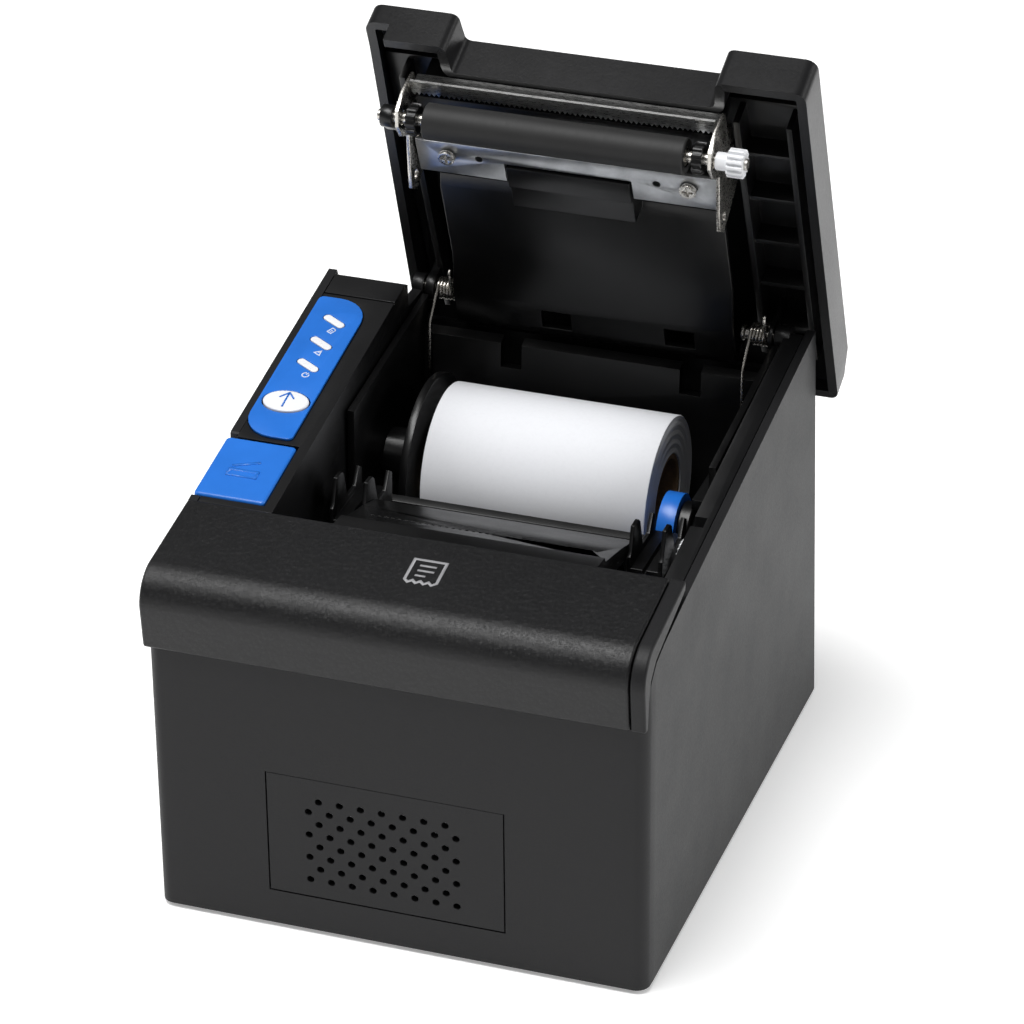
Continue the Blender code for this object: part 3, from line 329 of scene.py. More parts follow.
def grille_panel():
    """Rows of hole tiles, every second row set in by half a tile, in a plain margin on all sides."""
    tile, tile_faces = hole_tile()
    flats, faces, count = [], [], 0
    for row in range(HOLE_ROWS):
        short = row % 2
        for column in range(8 - short):
            centre = (FIRST_HOLE[0] + (column + short / 2) * HOLE_PITCH[0],
                      FIRST_HOLE[1] + row * HOLE_PITCH[1])
            flats.append(tile + centre)
            faces.append(tile_faces + count)
            count += len(tile)
    left, right = FIRST_HOLE[0] - HOLE_PITCH[0] / 2, FIRST_HOLE[0] + 7.5 * HOLE_PITCH[0]
    low, high = FIRST_HOLE[1] - HOLE_PITCH[1] / 2, FIRST_HOLE[1] + (HOLE_ROWS - 0.5) * HOLE_PITCH[1]
    outer_x = (GRILLE_X[0] + GRILLE_GAP, GRILLE_X[1] - GRILLE_GAP)
    outer_z = (GRILLE_Z[0] + GRILLE_GAP, GRILLE_Z[1] - 0.12)
    step_x, step_z = HOLE_PITCH[0] / 4, HOLE_PITCH[1] / 4
    across = np.concatenate([[outer_x[0]], np.arange(left, right + 0.01, step_x), [outer_x[1]]])
    up = np.concatenate([[outer_z[0]], np.arange(low, high + 0.01, step_z), [outer_z[1]]])
    margin = np.stack(np.meshgrid(across, up), -1).reshape(-1, 2)
    margin_faces = quads(len(up), len(across))
    centre = margin[margin_faces].mean(axis=1)
    row = np.floor((centre[:, 1] - low) / HOLE_PITCH[1])
    inset = np.where(row % 2 == 1, HOLE_PITCH[0] / 2, 0.0)
    tiled = (centre[:, 0] > left + inset) & (centre[:, 0] < right - inset) & (centre[:,
        1] > low) & (centre[:, 1] < high)
    flats.append(margin)
    faces.append(margin_faces[~tiled] + count)
    flat = np.concatenate(flats)
    lean = -FRONT_LEAN * (flat[:, 1] - CASE_FOOT) / (SEAM - CASE_FOOT)
    return np.stack([flat[:, 0], lean, flat[:, 1]], -1), np.concatenate(faces)


speaker_grille = make_piece("speaker_grille", *grille_panel(), CHARCOAL, "case", "charcoal_plastic",
                            closed=False)
for face in speaker_grille.data.polygons:
    if face.normal.y > 0:
        speaker_grille.data.flip_normals()
        break
give_wall(speaker_grille, 2.4, even=False)
round_edges(speaker_grille, 0.14, segments=2, angle=50)


# ---------------------------------------------------------------- front cover

# The front cover is a rounded nose in black plastic with a soft leather grain. Its right end
# is closed by a narrow band of the charcoal case, past a fine gap.

BAND_WIDTH = 4.6
NOSE_CENTRE = (4.4, 100.6)
NOSE_RADIUS = 10.5
NOSE_TOP_SLOPE = radians(9.5)
NOSE_REAR = (31.0, 115.6)


def leather_plastic(name, colour, roughness, cell, relief):
    """Black plastic with a leather grain: rounded cells of two sizes with creases between them."""
    material, link, place = new_finish(name, "Specular IOR Level", 0.36)
    bend = add_node(material, "ShaderNodeTexNoise", Scale=1 / (1.6 * cell * MM), Detail=2.0)
    bent = add_node(material, "ShaderNodeVectorMath", operation="MULTIPLY_ADD")
    bent.inputs[1].default_value = (cell * MM, cell * MM, cell * MM)
    link(bend.outputs["Color"], bent.inputs[0])
    link(place.outputs["Object"], bent.inputs[2])
    cells = add_node(material, "ShaderNodeTexVoronoi", feature="SMOOTH_F1", Scale=1 / (cell * MM),
                     Smoothness=0.6)
    link(bent.outputs[0], cells.inputs["Vector"])
    fine = add_node(material, "ShaderNodeTexNoise", Scale=1 / (0.35 * cell * MM), Detail=3.0)
    link(place.outputs["Object"], fine.inputs["Vector"])
    height = add_node(material, "ShaderNodeMath", operation="MULTIPLY_ADD")
    height.inputs[1].default_value = 0.35
    link(fine.outputs["Fac"], height.inputs[0])
    flip = add_node(material, "ShaderNodeMath", operation="SUBTRACT")
    flip.inputs[0].default_value = 1.0
    link(cells.outputs["Distance"], flip.inputs[1])
    link(flip.outputs[0], height.inputs[2])
    relief_by(material, height.outputs[0], 1.0, relief)
    shade_by(material, fine.outputs["Fac"], colour, 0.8, 1.2)
    gloss_by(material, flip.outputs[0], roughness + 0.08, roughness - 0.04)
    return material


COVER_BLACK = leather_plastic("cover_leather_grain", (0.0045, 0.0045, 0.005), 0.36, 1.5, 0.07)


def nose_section():
    """Side outline of the cover: up the front, round the nose on an arc, back up the top, then under."""
    turn = np.linspace(pi, pi / 2 + NOSE_TOP_SLOPE, 26)
    arc = np.stack([NOSE_CENTRE[0] + NOSE_RADIUS * np.cos(turn),
                    NOSE_CENTRE[1] + NOSE_RADIUS * np.sin(turn)], -1)
    front = np.stack([np.linspace(-4.4, arc[0, 0], 5)[:-1], np.linspace(SEAM + 0.5, arc[0, 1], 5)[:-1]], -1)
    under = [(31.0, 112.4), (12.0, 107.1), (4.6, 104.9), (0.2, 101.0), (-1.4, 95.2), (-2.1, SEAM + 0.5)]
    return np.concatenate([front, arc, [NOSE_REAR], under])


def carried_along_x(section, stations):
    """A closed (y, z) section carried to each x station, with a flat face at both ends."""
    stations = np.asarray(stations, float)
    columns = len(section)
    points = np.concatenate([
        np.repeat(stations, columns)[:, None], np.tile(np.asarray(section, float), (len(stations), 1)),
    ], axis=1)
    return points, capped(len(stations), columns)


cover = make_piece(
    "front_cover_nose", *carried_along_x(nose_section(), np.linspace(-HALF_WIDTH, HALF_WIDTH - BAND_WIDTH,
                                                                     12)),
    COVER_BLACK, "case", "cover_black", ["front_cover"],
)
round_edges(cover, 0.9, segments=4)
band = make_piece(
    "cover_end_band", *carried_along_x(nose_section(), (HALF_WIDTH - BAND_WIDTH + 0.3, HALF_WIDTH)),
    CHARCOAL, "case", "charcoal_plastic",
)
round_edges(band, 0.8, segments=4)


# ---------------------------------------------------------------- moulded inner pieces

# Behind the cover the printer is made of black mouldings: the control pod, the side rail, the
# roll bucket, the mechanism lip and the platen cradles. Their shapes are the model's own, with
# the sharp edges rounded as a mould leaves them.

INNER_BLACK = moulded_plastic("inner_black_moulded", (0.0028, 0.0028, 0.003), 0.34, 0.5, 0.015, patch=9.0,
                              specular=0.4)
POD_BLACK = moulded_plastic("pod_black_moulded", (0.004, 0.004, 0.0044), 0.38, 0.6, 0.02, patch=14.0,
                            specular=0.42)


def rounded_copy(node, name, finish, body, width, segments=2):
    """A copy of a node with its loose triangles merged, its flat faces made whole and its edges rounded."""
    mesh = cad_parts[node].data.copy()
    built = bmesh.new()
    built.from_mesh(mesh)
    bmesh.ops.remove_doubles(built, verts=built.verts, dist=0.004 * MM)
    bmesh.ops.dissolve_limit(built, angle_limit=radians(0.6), verts=built.verts, edges=built.edges)
    built.to_mesh(mesh)
    built.free()
    mesh.materials.clear()
    mesh.materials.append(finish)
    mesh.shade_smooth()
    piece = bpy.data.objects.new(name, mesh)
    bpy.context.scene.collection.objects.link(piece)
    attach(piece, body)
    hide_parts(node)
    if width:
        round_edges(piece, width, segments)
    else:
        mesh.set_sharp_from_angle(angle=radians(30))
    return piece


rounded_copy("control_pod", "pod_body", POD_BLACK, "case", 0.35)
rounded_copy("right_side_rail", "side_rail_body", POD_BLACK, "case", 0.4)
rounded_copy("paper_bay", "roll_bucket", INNER_BLACK, "case", 0.3)
rounded_copy("mechanism_lip", "lip_body", INNER_BLACK, "case", 0.2)
rounded_copy("left_cradle", "left_cradle_body", INNER_BLACK, "case", 0.2)
rounded_copy("right_cradle", "right_cradle_body", INNER_BLACK, "case", 0.2)


# ---------------------------------------------------------------- indicator panel and keys

# A blue inset on the pod's sloping top carries three light windows and the oval feed key. The
# wide lid button in front of it is of the same blue plastic and stands in a well of the pod.

BLUE = moulded_plastic("blue_satin_plastic", (0.014, 0.150, 0.585), 0.34, 0.4, 0.012, spread=0.06, patch=12.0)
WHITE = moulded_plastic("white_key_plastic", (0.78, 0.79, 0.81), 0.36, 0.4, 0.010, spread=0.03, patch=8.0)
PRINT_WHITE = moulded_plastic("printed_white_ink", (0.66, 0.72, 0.86), 0.5, 0.3, 0.006, spread=0.04,
                              patch=3.0)
LENS_X = -61.5
LENS_ALONG = (66.5, 77.5, 88.5)
LENS_TURN = radians(-30)
FEED_PLACE = (-61.5, 48.6)


def on_pod(points):
    """(x, along the pod, height over its top) as points from the case's front foot."""
    x, along, height = np.asarray(points, float).T
    y = POD_FRONT[0] + along * cos(POD_SLOPE) - height * sin(POD_SLOPE)
    z = POD_FRONT[1] + along * sin(POD_SLOPE) + height * cos(POD_SLOPE)
    return np.stack([x, y, z], -1)


def crowned_key(outline, low, high, crown, edge):
    """A key with an upright side, a rounded edge and a crowned top, as rings of one outline.

    Each ring is the outline scaled about its own middle; the edge is a quarter circle and the
    crown falls off with the square of the distance from the middle.
    """
    outline = np.asarray(outline, float)
    middle = outline.mean(axis=0)
    reach = np.abs(outline - middle).max(axis=1).min()
    turn = np.linspace(0, pi / 2, 6)
    edge_scale = 1 - edge * (1 - np.cos(turn)) / reach
    edge_height = high - edge + edge * np.sin(turn)
    top_scale = np.linspace(edge_scale[-1], 0.02, 7)[1:]
    top_height = high + crown * (1 - (top_scale / edge_scale[-1]) ** 2)
    scale = np.concatenate([[1.0], edge_scale, top_scale])
    height = np.concatenate([[low], edge_height, top_height])
    flat = middle + (outline - middle)[None] * scale[:, None, None]
    level = np.broadcast_to(height[:, None, None], flat.shape[:2] + (1,))
    points = np.concatenate([flat, level], axis=-1).reshape(-1, 3)
    return points, capped(len(scale), len(outline))


def pill(centre, half, radius, turn):
    """A slot outline: two half circles joined by straight sides, turned about its middle."""
    right = np.linspace(-pi / 2, pi / 2, 13)
    x = np.concatenate([half + radius * np.cos(right), -half - radius * np.cos(right)])
    y = np.concatenate([radius * np.sin(right), -radius * np.sin(right)])
    return np.stack([centre[0] + x * cos(turn) - y * sin(turn), centre[1] + x * sin(turn) + y * cos(turn)],
                    -1)


rounded_copy("indicator_panel", "blue_panel", BLUE, "case", 0.22, 3)
for name, along in zip(("power_lens", "error_lens", "paper_lens"), LENS_ALONG):
    points, faces = crowned_key(pill((LENS_X, along), 2.9, 1.2, LENS_TURN), -1.2, 0.72, 0.10, 0.25)
    make_piece(f"{name}_dome", on_pod(points), faces, WHITE, "case", "white_plastic", [name])

around = np.linspace(0, 2 * pi, 49)[:-1]
feed_outline = np.stack([FEED_PLACE[0] + 6.85 * np.cos(around), FEED_PLACE[1] + 4.75 * np.sin(around)], -1)
points, faces = crowned_key(feed_outline, -3.4, 1.1, 0.22, 0.5)
make_piece("feed_key_dome", on_pod(points), faces, WHITE, "feed_key", "white_plastic", ["feed_button"])

# Generic signs stand where a maker prints words: a power ring, a warning triangle and a page
# beside the lights, an arrow on the feed key, and an opening lid on the wide button.


def stroke(path, width, low, high, loop=False):
    """A raised line of even width along a path, as a ribbon with a flat top and upright sides.

    The ribbon's two borders stand half its width either side of the path, across the mean
    direction of the two stretches that meet at each point.
    """
    path = np.asarray(path, float)
    ahead = np.roll(path, -1, axis=0) - path
    behind = path - np.roll(path, 1, axis=0)
    if not loop:
        ahead[-1], behind[0] = behind[-1], ahead[0]
    ahead /= np.linalg.norm(ahead, axis=1, keepdims=True)
    behind /= np.linalg.norm(behind, axis=1, keepdims=True)
    mean = (ahead + behind) / np.linalg.norm(ahead + behind, axis=1, keepdims=True)
    across = np.stack([-mean[:, 1], mean[:, 0]], -1)
    reach = width / 2 / np.clip((mean * ahead).sum(axis=1), 0.5, 1)[:, None]
    sides = [path + across * reach, path - across * reach]
    rings = np.stack([
        np.concatenate([sides[0], np.full((len(path), 1), low)], 1),
        np.concatenate([sides[0], np.full((len(path), 1), high)], 1),
        np.concatenate([sides[1], np.full((len(path), 1), high)], 1),
        np.concatenate([sides[1], np.full((len(path), 1), low)], 1),
    ], axis=1)
    faces = quads(len(path) + loop, 4, joined=True) % (4 * len(path))
    faces = faces.tolist()
    if not loop:
        faces += [[3, 2, 1, 0], [len(path) * 4 - 4 + corner for corner in range(4)]]
    return rings.reshape(-1, 3), faces


def sign(name, strokes, levels, place, finish, body, slot, scale, turn=LENS_TURN, surface=on_pod):
    """Several raised lines as one piece, scaled, turned about their middle and set on a surface."""
    points, faces = [], []
    count = 0
    for path, width, loop in strokes:
        path = np.asarray(path, float) * scale
        path = np.stack([path[:, 0] * cos(turn) - path[:, 1] * sin(turn),
                         path[:, 0] * sin(turn) + path[:, 1] * cos(turn)], -1)
        made, sides = stroke(path + place, width, *levels, loop)
        points.append(made)
        faces += [[index + count for index in face] for face in sides]
        count += len(made)
    return make_piece(name, surface(np.concatenate(points)), faces, finish, body, slot)


SIGN_LEVELS = (0.5, 0.66)
ring = np.stack([np.cos(around[:41] + 2.0), np.sin(around[:41] + 2.0)], -1)
power_sign = [(ring, 0.34, False), ([(0, 0.2), (0, 1.3)], 0.34, False)]
error_sign = [
    ([(-1.1, -0.8), (1.1, -0.8), (0, 1.1)], 0.32, True),
    ([(0, -0.1), (0, 0.45)], 0.32, False),
]
page_sign = [
    ([(-0.8, -1.1), (0.8, -1.1), (0.8, 0.6), (0.3, 1.1), (-0.8, 1.1)], 0.3, True),
    ([(-0.4, 0.1), (0.4, 0.1)], 0.26, False),
    ([(-0.4, -0.5), (0.4, -0.5)], 0.26, False),
]
for name, strokes, along in zip(("power_sign", "error_sign", "page_sign"), (power_sign, error_sign,
                                                                            page_sign), LENS_ALONG):
    sign(name, strokes, SIGN_LEVELS, (LENS_X + 1.0, along - 4.6), PRINT_WHITE, "case", "white_plastic", 1.0)

ARROW = [(-1.6, 0.0), (1.6, 0.0)]
ARROW_HEAD = [(0.4, 1.1), (1.7, 0.0), (0.4, -1.1)]
sign("feed_arrow", [(ARROW, 0.5, False), (ARROW_HEAD, 0.5, False)], (1.15, 1.4), FEED_PLACE, BLUE, "feed_key",
     "blue_plastic", 2.0, turn=pi / 2)

BUTTON_X = (-72.3, -51.1)
BUTTON_ALONG = (3.3, 29.9)
BUTTON_TOP = 0.3


def rounded_outline(corners, radii, steps=7):
    """Corners joined by straight lines, each corner turned into an arc of its own radius.

    An arc starts and ends where a circle of that radius touches the two sides, and its points
    are spread evenly over the angle between them.
    """
    corners = np.asarray(corners, float)
    outline = []
    for index, radius in enumerate(radii):
        here, before, after = corners[index], corners[index - 1], corners[(index + 1) % len(corners)]
        if radius == 0:
            outline.append(here[None])
            continue
        first, second = (before - here) / hypot(*(before - here)), (after - here) / hypot(*(after - here))
        half = np.arccos(np.clip(first @ second, -1, 1)) / 2
        centre = here + (first + second) / hypot(*(first + second)) * radius / sin(half)
        start, end = here + first * radius / tan(half) - centre, here + second * radius / tan(half) - centre
        swing = (atan2(end[1], end[0]) - atan2(start[1], start[0]) + pi) % (2 * pi) - pi
        angle = atan2(start[1], start[0]) + np.linspace(0, swing, steps)
        outline.append(centre + radius * np.stack([np.cos(angle), np.sin(angle)], -1))
    return np.concatenate(outline)


button_outline = rounded_outline(
    [(BUTTON_X[0], BUTTON_ALONG[0]), (BUTTON_X[1], BUTTON_ALONG[0]), (BUTTON_X[1], BUTTON_ALONG[1]),
     (BUTTON_X[0], BUTTON_ALONG[1])], [1.2] * 4,
)
points, faces = crowned_key(button_outline, -8.0, BUTTON_TOP, 0.12, 0.9)
make_piece("lid_button", on_pod(points), faces, BLUE, "push_key", "blue_plastic", ["push_button"])
LID_SIGN = [
    ([(-4.2, -2.4), (4.2, -2.4), (4.2, 0.2), (-4.2, 0.2)], 0.9, True),
    ([(-4.2, 1.6), (3.4, 4.6)], 0.9, False),
]
sign("lid_button_sign", LID_SIGN, (0.2, 0.62),
     ((BUTTON_X[0] + BUTTON_X[1]) / 2, sum(BUTTON_ALONG) / 2 - 1.0), BLUE, "push_key",
     "blue_plastic", 1.0, turn=0.0)


def on_cover(points):
    """(x, distance back from the nose's end, height) over the flat top of the front cover."""
    x, along, height = np.asarray(points, float).T
    start = np.array(NOSE_CENTRE) + NOSE_RADIUS * np.array([-sin(NOSE_TOP_SLOPE), cos(NOSE_TOP_SLOPE)])
    along_top = np.array([cos(NOSE_TOP_SLOPE), sin(NOSE_TOP_SLOPE)])
    above_top = np.array([-sin(NOSE_TOP_SLOPE), cos(NOSE_TOP_SLOPE)])
    place = start + along[:, None] * along_top + height[:, None] * above_top
    return np.column_stack([x, place])


# A plain outline of a torn receipt is printed in grey in the middle of the cover's top.

PRINT_GREY = moulded_plastic("printed_grey_ink", (0.30, 0.30, 0.31), 0.45, 0.3, 0.004, spread=0.05, patch=3.0)
MARK_LEVELS = (-0.04, 0.05)
torn_edge = [(4.6 - 1.15 * step, -4.2 - (step % 2) * 1.1) for step in range(9)]
RECEIPT = [
    ([(-4.6, 4.8), (4.6, 4.8), *torn_edge], 0.85, True),
    ([(-2.4, 2.4), (2.4, 2.4)], 0.75, False),
    ([(-2.4, 0.2), (2.4, 0.2)], 0.75, False),
    ([(-2.4, -2.0), (0.6, -2.0)], 0.75, False),
]
sign("cover_receipt_mark", RECEIPT, MARK_LEVELS, (3.0, 14.0), PRINT_GREY, "case", "white_plastic", 1.0,
     turn=0.0,
     surface=on_cover)


# ---------------------------------------------------------------- paper roll

# An 80 mm thermal roll wound on a brown board core, which turns freely in the bucket. Its ends
# show the wound layers, slightly uneven, and the core's ends stand just inside the paper.

ROLL_LOW, ROLL_HIGH = corners_of("paper_roll")
ROLL_CENTRE = axis_between(ROLL_LOW, ROLL_HIGH)
ROLL_RADIUS = (ROLL_HIGH[1] - ROLL_LOW[1]) / 2
CORE_RADIUS = 12.6


def turned(profile, centre, steps=96):
    """A profile of (x, radius) turned about an axis along X through centre (y, z); the profile is closed."""
    profile = np.asarray(profile, float)
    angle = np.linspace(0, 2 * pi, steps, endpoint=False)[:, None]
    x = np.broadcast_to(profile[:, 0], (steps, len(profile)))
    y = centre[0] + profile[:, 1] * np.cos(angle)
    z = centre[1] + profile[:, 1] * np.sin(angle)
    points = np.stack([x, y, z], -1).reshape(-1, 3)
    faces = quads(steps + 1, len(profile), joined=True) % len(points)
    return points, faces


def wound_paper(name, colour, centre):
    """Thermal paper: near white, faintly fibrous, with fine rings round the roll's axis on its ends."""
    material, link, place = new_finish(name, "Specular IOR Level", 0.35)
    at_axis = add_node(material, "ShaderNodeMapping")
    at_axis.inputs["Location"].default_value = -in_place((0.0, *centre))
    rings = add_node(material, "ShaderNodeTexWave", wave_type="RINGS", rings_direction="X", Scale=700.0,
                     Distortion=2.0, Detail=3.0)
    fibre = add_node(material, "ShaderNodeTexNoise", Scale=1400.0, Detail=5.0)
    link(place.outputs["Object"], at_axis.inputs["Vector"])
    link(at_axis.outputs["Vector"], rings.inputs["Vector"])
    link(place.outputs["Object"], fibre.inputs["Vector"])
    layers = add_node(material, "ShaderNodeMath", operation="MULTIPLY_ADD")
    layers.inputs[1].default_value = 0.5
    half = add_node(material, "ShaderNodeMath", operation="MULTIPLY")
    half.inputs[1].default_value = 0.5
    link(rings.outputs["Fac"], half.inputs[0])
    link(fibre.outputs["Fac"], layers.inputs[0])
    link(half.outputs[0], layers.inputs[2])
    shade_by(material, layers.outputs[0], colour, 0.90, 1.0)
    gloss_by(material, fibre.outputs["Fac"], 0.62, 0.78)
    relief_by(material, layers.outputs[0], 0.6, 0.02)
    return material


PAPER = wound_paper("thermal_paper", (0.80, 0.81, 0.84), ROLL_CENTRE)


def roll_profile():
    """The roll's section: a straight outside, and ends that waver from layer to layer as two sines."""
    radius = np.linspace(ROLL_RADIUS - 0.25, CORE_RADIUS + 0.2, 34)
    waver = 0.10 * np.sin(radius * 2.3) + 0.06 * np.sin(radius * 7.1) + 0.12
    right = np.stack([ROLL_HIGH[0] - waver, radius], -1)
    left = np.stack([ROLL_LOW[0] + waver[::-1], radius[::-1]], -1)
    outside = [(ROLL_LOW[0] + 0.25, ROLL_RADIUS - 0.02), (ROLL_HIGH[0] - 0.25, ROLL_RADIUS - 0.02)]
    return np.concatenate([outside, right, left])


make_piece(
    "wound_roll", *turned(roll_profile(), ROLL_CENTRE, 128), PAPER, "roll", "paper", ["paper_roll"], sharp=40,
)


def spiral_board(name, colour, centre):
    """Kraft board wound on a slant: long fibres, darker specks, and a seam that runs round as a helix."""
    material, link, place = new_finish(name, "Roughness", 0.86)
    at_axis = add_node(material, "ShaderNodeMapping")
    at_axis.inputs["Location"].default_value = -in_place((0.0, *centre))
    at_axis.inputs["Rotation"].default_value = (0.0, 0.35, 0.25)
    fibre = add_node(material, "ShaderNodeTexNoise", Scale=900.0, Detail=6.0, Distortion=0.4)
    band = add_node(material, "ShaderNodeTexWave", wave_type="BANDS", bands_direction="X", Scale=38.0,
                    Distortion=0.6)
    link(place.outputs["Object"], at_axis.inputs["Vector"])
    link(at_axis.outputs["Vector"], band.inputs["Vector"])
    link(at_axis.outputs["Vector"], fibre.inputs["Vector"])
    mix = add_node(material, "ShaderNodeMath", operation="MULTIPLY_ADD")
    mix.inputs[1].default_value = 0.25
    link(band.outputs["Fac"], mix.inputs[0])
    link(fibre.outputs["Fac"], mix.inputs[2])
    shade_by(material, mix.outputs[0], colour, 0.6, 1.15, (0.3, 1.0))
    relief_by(material, mix.outputs[0], 0.8, 0.05)
    return material


KRAFT = spiral_board("kraft_core_board", (0.33, 0.21, 0.12), ROLL_CENTRE)
CORE_PROFILE = [
    (ROLL_LOW[0] + 0.5, CORE_RADIUS), (ROLL_HIGH[0] - 0.5, CORE_RADIUS),
    (ROLL_HIGH[0] - 0.4, CORE_RADIUS - 0.2),
    (ROLL_HIGH[0] - 0.4, 11.2), (ROLL_HIGH[0] - 0.6, 11.0), (ROLL_LOW[0] + 0.6, 11.0),
    (ROLL_LOW[0] + 0.4, 11.2),
    (ROLL_LOW[0] + 0.4, CORE_RADIUS - 0.2),
]
make_piece(
    "board_core", *turned(CORE_PROFILE, ROLL_CENTRE), KRAFT, "roll", "core_board", ["roll_core"], sharp=40,
)


# ---------------------------------------------------------------- lid

# The lid is a shallow black tray with two square ears at its front corners. It is hinged at
# the rear and stands open. Its left skirt is cut back to pass over the control pod.

OPEN_TURN = radians(8.84 - 75.9)
HINGE = axis_between(*corners_of("left_hinge_pin"))
LID_X = (-54.5, 77.0)
LID_Y = (-99.5, 28.5)
LID_Z = (3.6, 17.1)
EAR_WIDTH = 26.0
EAR_STEP = 10.0
LID_WALL = 2.8
RELIEF_X = -46.8
RELIEF_END = 20.1
RELIEF_LOW, RELIEF_RISE, RELIEF_RUN = 9.8, 2.0, 119.5
SLOPE_START = 20.5

LID_BLACK = moulded_plastic("lid_black_moulded", (0.0045, 0.0045, 0.005), 0.34, 0.9, 0.03, patch=22.0,
                            specular=0.45)


def on_lid(points):
    """Points in the hinge's frame (y negative to the front, z up from the axis), turned to the open lid."""
    x, y, z = np.asarray(points, float).T
    turned_y = HINGE[0] + y * cos(OPEN_TURN) - z * sin(OPEN_TURN)
    turned_z = HINGE[1] + y * sin(OPEN_TURN) + z * cos(OPEN_TURN)
    return np.stack([x, turned_y, turned_z], -1)


def lid_tray():
    """The lid's outline carried from its rim to its top edge, under a flat top that slopes off at the rear.

    The outline starts where the slope begins on the left. One face closes each ear, one the flat
    top behind them and one the slope.
    """
    left, right = LID_X
    front, rear = LID_Y
    step = front + EAR_STEP
    outline = rounded_outline(
        [(left, SLOPE_START), (left, step), (left, front), (RELIEF_X - 0.05, front), (RELIEF_X + 0.05, front),
         (left + EAR_WIDTH, front), (left + EAR_WIDTH + 1, step), (right - EAR_WIDTH - 1, step),
         (right - EAR_WIDTH, front), (right, front), (right, step), (right, SLOPE_START), (right, rear),
         (RELIEF_X + 0.05, rear), (RELIEF_X - 0.05, rear), (left, rear)],
        [0, 0, 3.5, 0, 0, 2.5, 2.0, 2.0, 2.5, 3.5, 0, 0, 2.5, 0, 0, 2.5],
    )
    x, y = outline.T
    relief = RELIEF_LOW + RELIEF_RISE * (y - front) / RELIEF_RUN
    low = np.where((x < RELIEF_X) & (y < RELIEF_END), relief, LID_Z[0])
    low = np.where((x < RELIEF_X) & (y > rear - 3), LID_Z[0], low)
    high = np.minimum(LID_Z[1], LID_Z[1] - (y - SLOPE_START))
    share = np.linspace(0, 1, 4)[:, None]
    points = np.stack(np.broadcast_arrays(x[None], y[None], low + (high - low) * share), -1).reshape(-1, 3)
    count = len(outline)
    top = np.arange(3 * count, 4 * count).tolist()
    split = int(np.flatnonzero(np.isclose(x, right) & np.isclose(y, SLOPE_START))[0])
    first, second, third, fourth = np.flatnonzero(np.isclose(y, step))
    ears = [top[first:second + 1], top[third:fourth + 1]]
    flat = [top[0], top[first], *top[second:third + 1], *top[fourth:split + 1]]
    slope = [*top[split:], top[0]]
    return points, [*quads(4, count, joined=True).tolist(), *ears, flat, slope]


points, faces = lid_tray()
tray = make_piece("lid_tray", on_lid(points), faces, LID_BLACK, "lid", "cover_black", ["lid_shell"],
                  closed=False)
give_wall(tray, LID_WALL)
round_edges(tray, 1.1, segments=4, angle=40)

# Inside the lid are a ribbed panel with the hinge arms, and the curved guide that the paper
# runs along, with two windows and a clip that grips the steel bracket.

rounded_copy("lid_inner_frame", "lid_ribbed_panel", INNER_BLACK, "lid", 0.25)
rounded_copy("lid_paper_guide", "paper_guide", INNER_BLACK, "lid", 0.25)


# ---------------------------------------------------------------- platen and its steelwork

# The platen hangs under the lid's front edge: a ground rubber roller on a steel shaft between
# two nickel-plated plates, which stand on a zinc-plated channel screwed to the lid. A serrated
# steel strip in front of it tears the paper.


def plated_steel(name, colour, roughness, streak, stretch, relief=0.004, cloud=0.05):
    """Plated sheet steel: fine rolling streaks, drawn out where stretch is small, and faint clouds."""
    material, link, place = new_finish(name, "Metallic", 1.0)
    along = add_node(material, "ShaderNodeMapping")
    along.inputs["Scale"].default_value = stretch
    lines = add_node(material, "ShaderNodeTexNoise", Scale=1 / (streak * MM), Detail=4.0)
    clouds = add_node(material, "ShaderNodeTexNoise", Scale=160.0, Detail=5.0, Distortion=0.5)
    link(place.outputs["Object"], along.inputs["Vector"])
    link(along.outputs["Vector"], lines.inputs["Vector"])
    link(place.outputs["Object"], clouds.inputs["Vector"])
    shade_by(material, clouds.outputs["Fac"], colour, 1 - 2 * cloud, 1 + cloud, MIDDLE_BAND)
    gloss_by(material, lines.outputs["Fac"], roughness - 0.06, roughness + 0.08, MIDDLE_BAND)
    relief_by(material, lines.outputs["Fac"], 1.0, relief)
    return material


ZINC = plated_steel("zinc_plate", (0.50, 0.51, 0.52), 0.36, 0.25, (0.06, 1.0, 1.0), cloud=0.12)
BLADE = plated_steel("blade_steel", (0.62, 0.62, 0.61), 0.28, 0.12, (0.05, 1.0, 1.0))
NICKEL = plated_steel("nickel_plate", (0.60, 0.58, 0.54), 0.27, 0.5, (1.0, 1.0, 1.0), relief=0.003,
                      cloud=0.08)

rounded_copy("platen_bracket", "bracket_channel", ZINC, "lid", 0.15)
rounded_copy("left_side_plate", "left_plate", NICKEL, "lid", 0.12)
rounded_copy("right_side_plate", "right_plate", NICKEL, "lid", 0.12)
rounded_copy("tear_bar", "tear_strip", BLADE, "lid", 0.0)
rounded_copy("left_bracket_screw", "left_screw", NICKEL, "lid", 0.12)
rounded_copy("right_bracket_screw", "right_screw", NICKEL, "lid", 0.12)

ROLLER_LOW, ROLLER_HIGH = corners_of("platen_roller")
PLATEN = axis_between(ROLLER_LOW, ROLLER_HIGH)
PLATEN_RADIUS = (ROLLER_HIGH[1] - ROLLER_LOW[1]) / 2


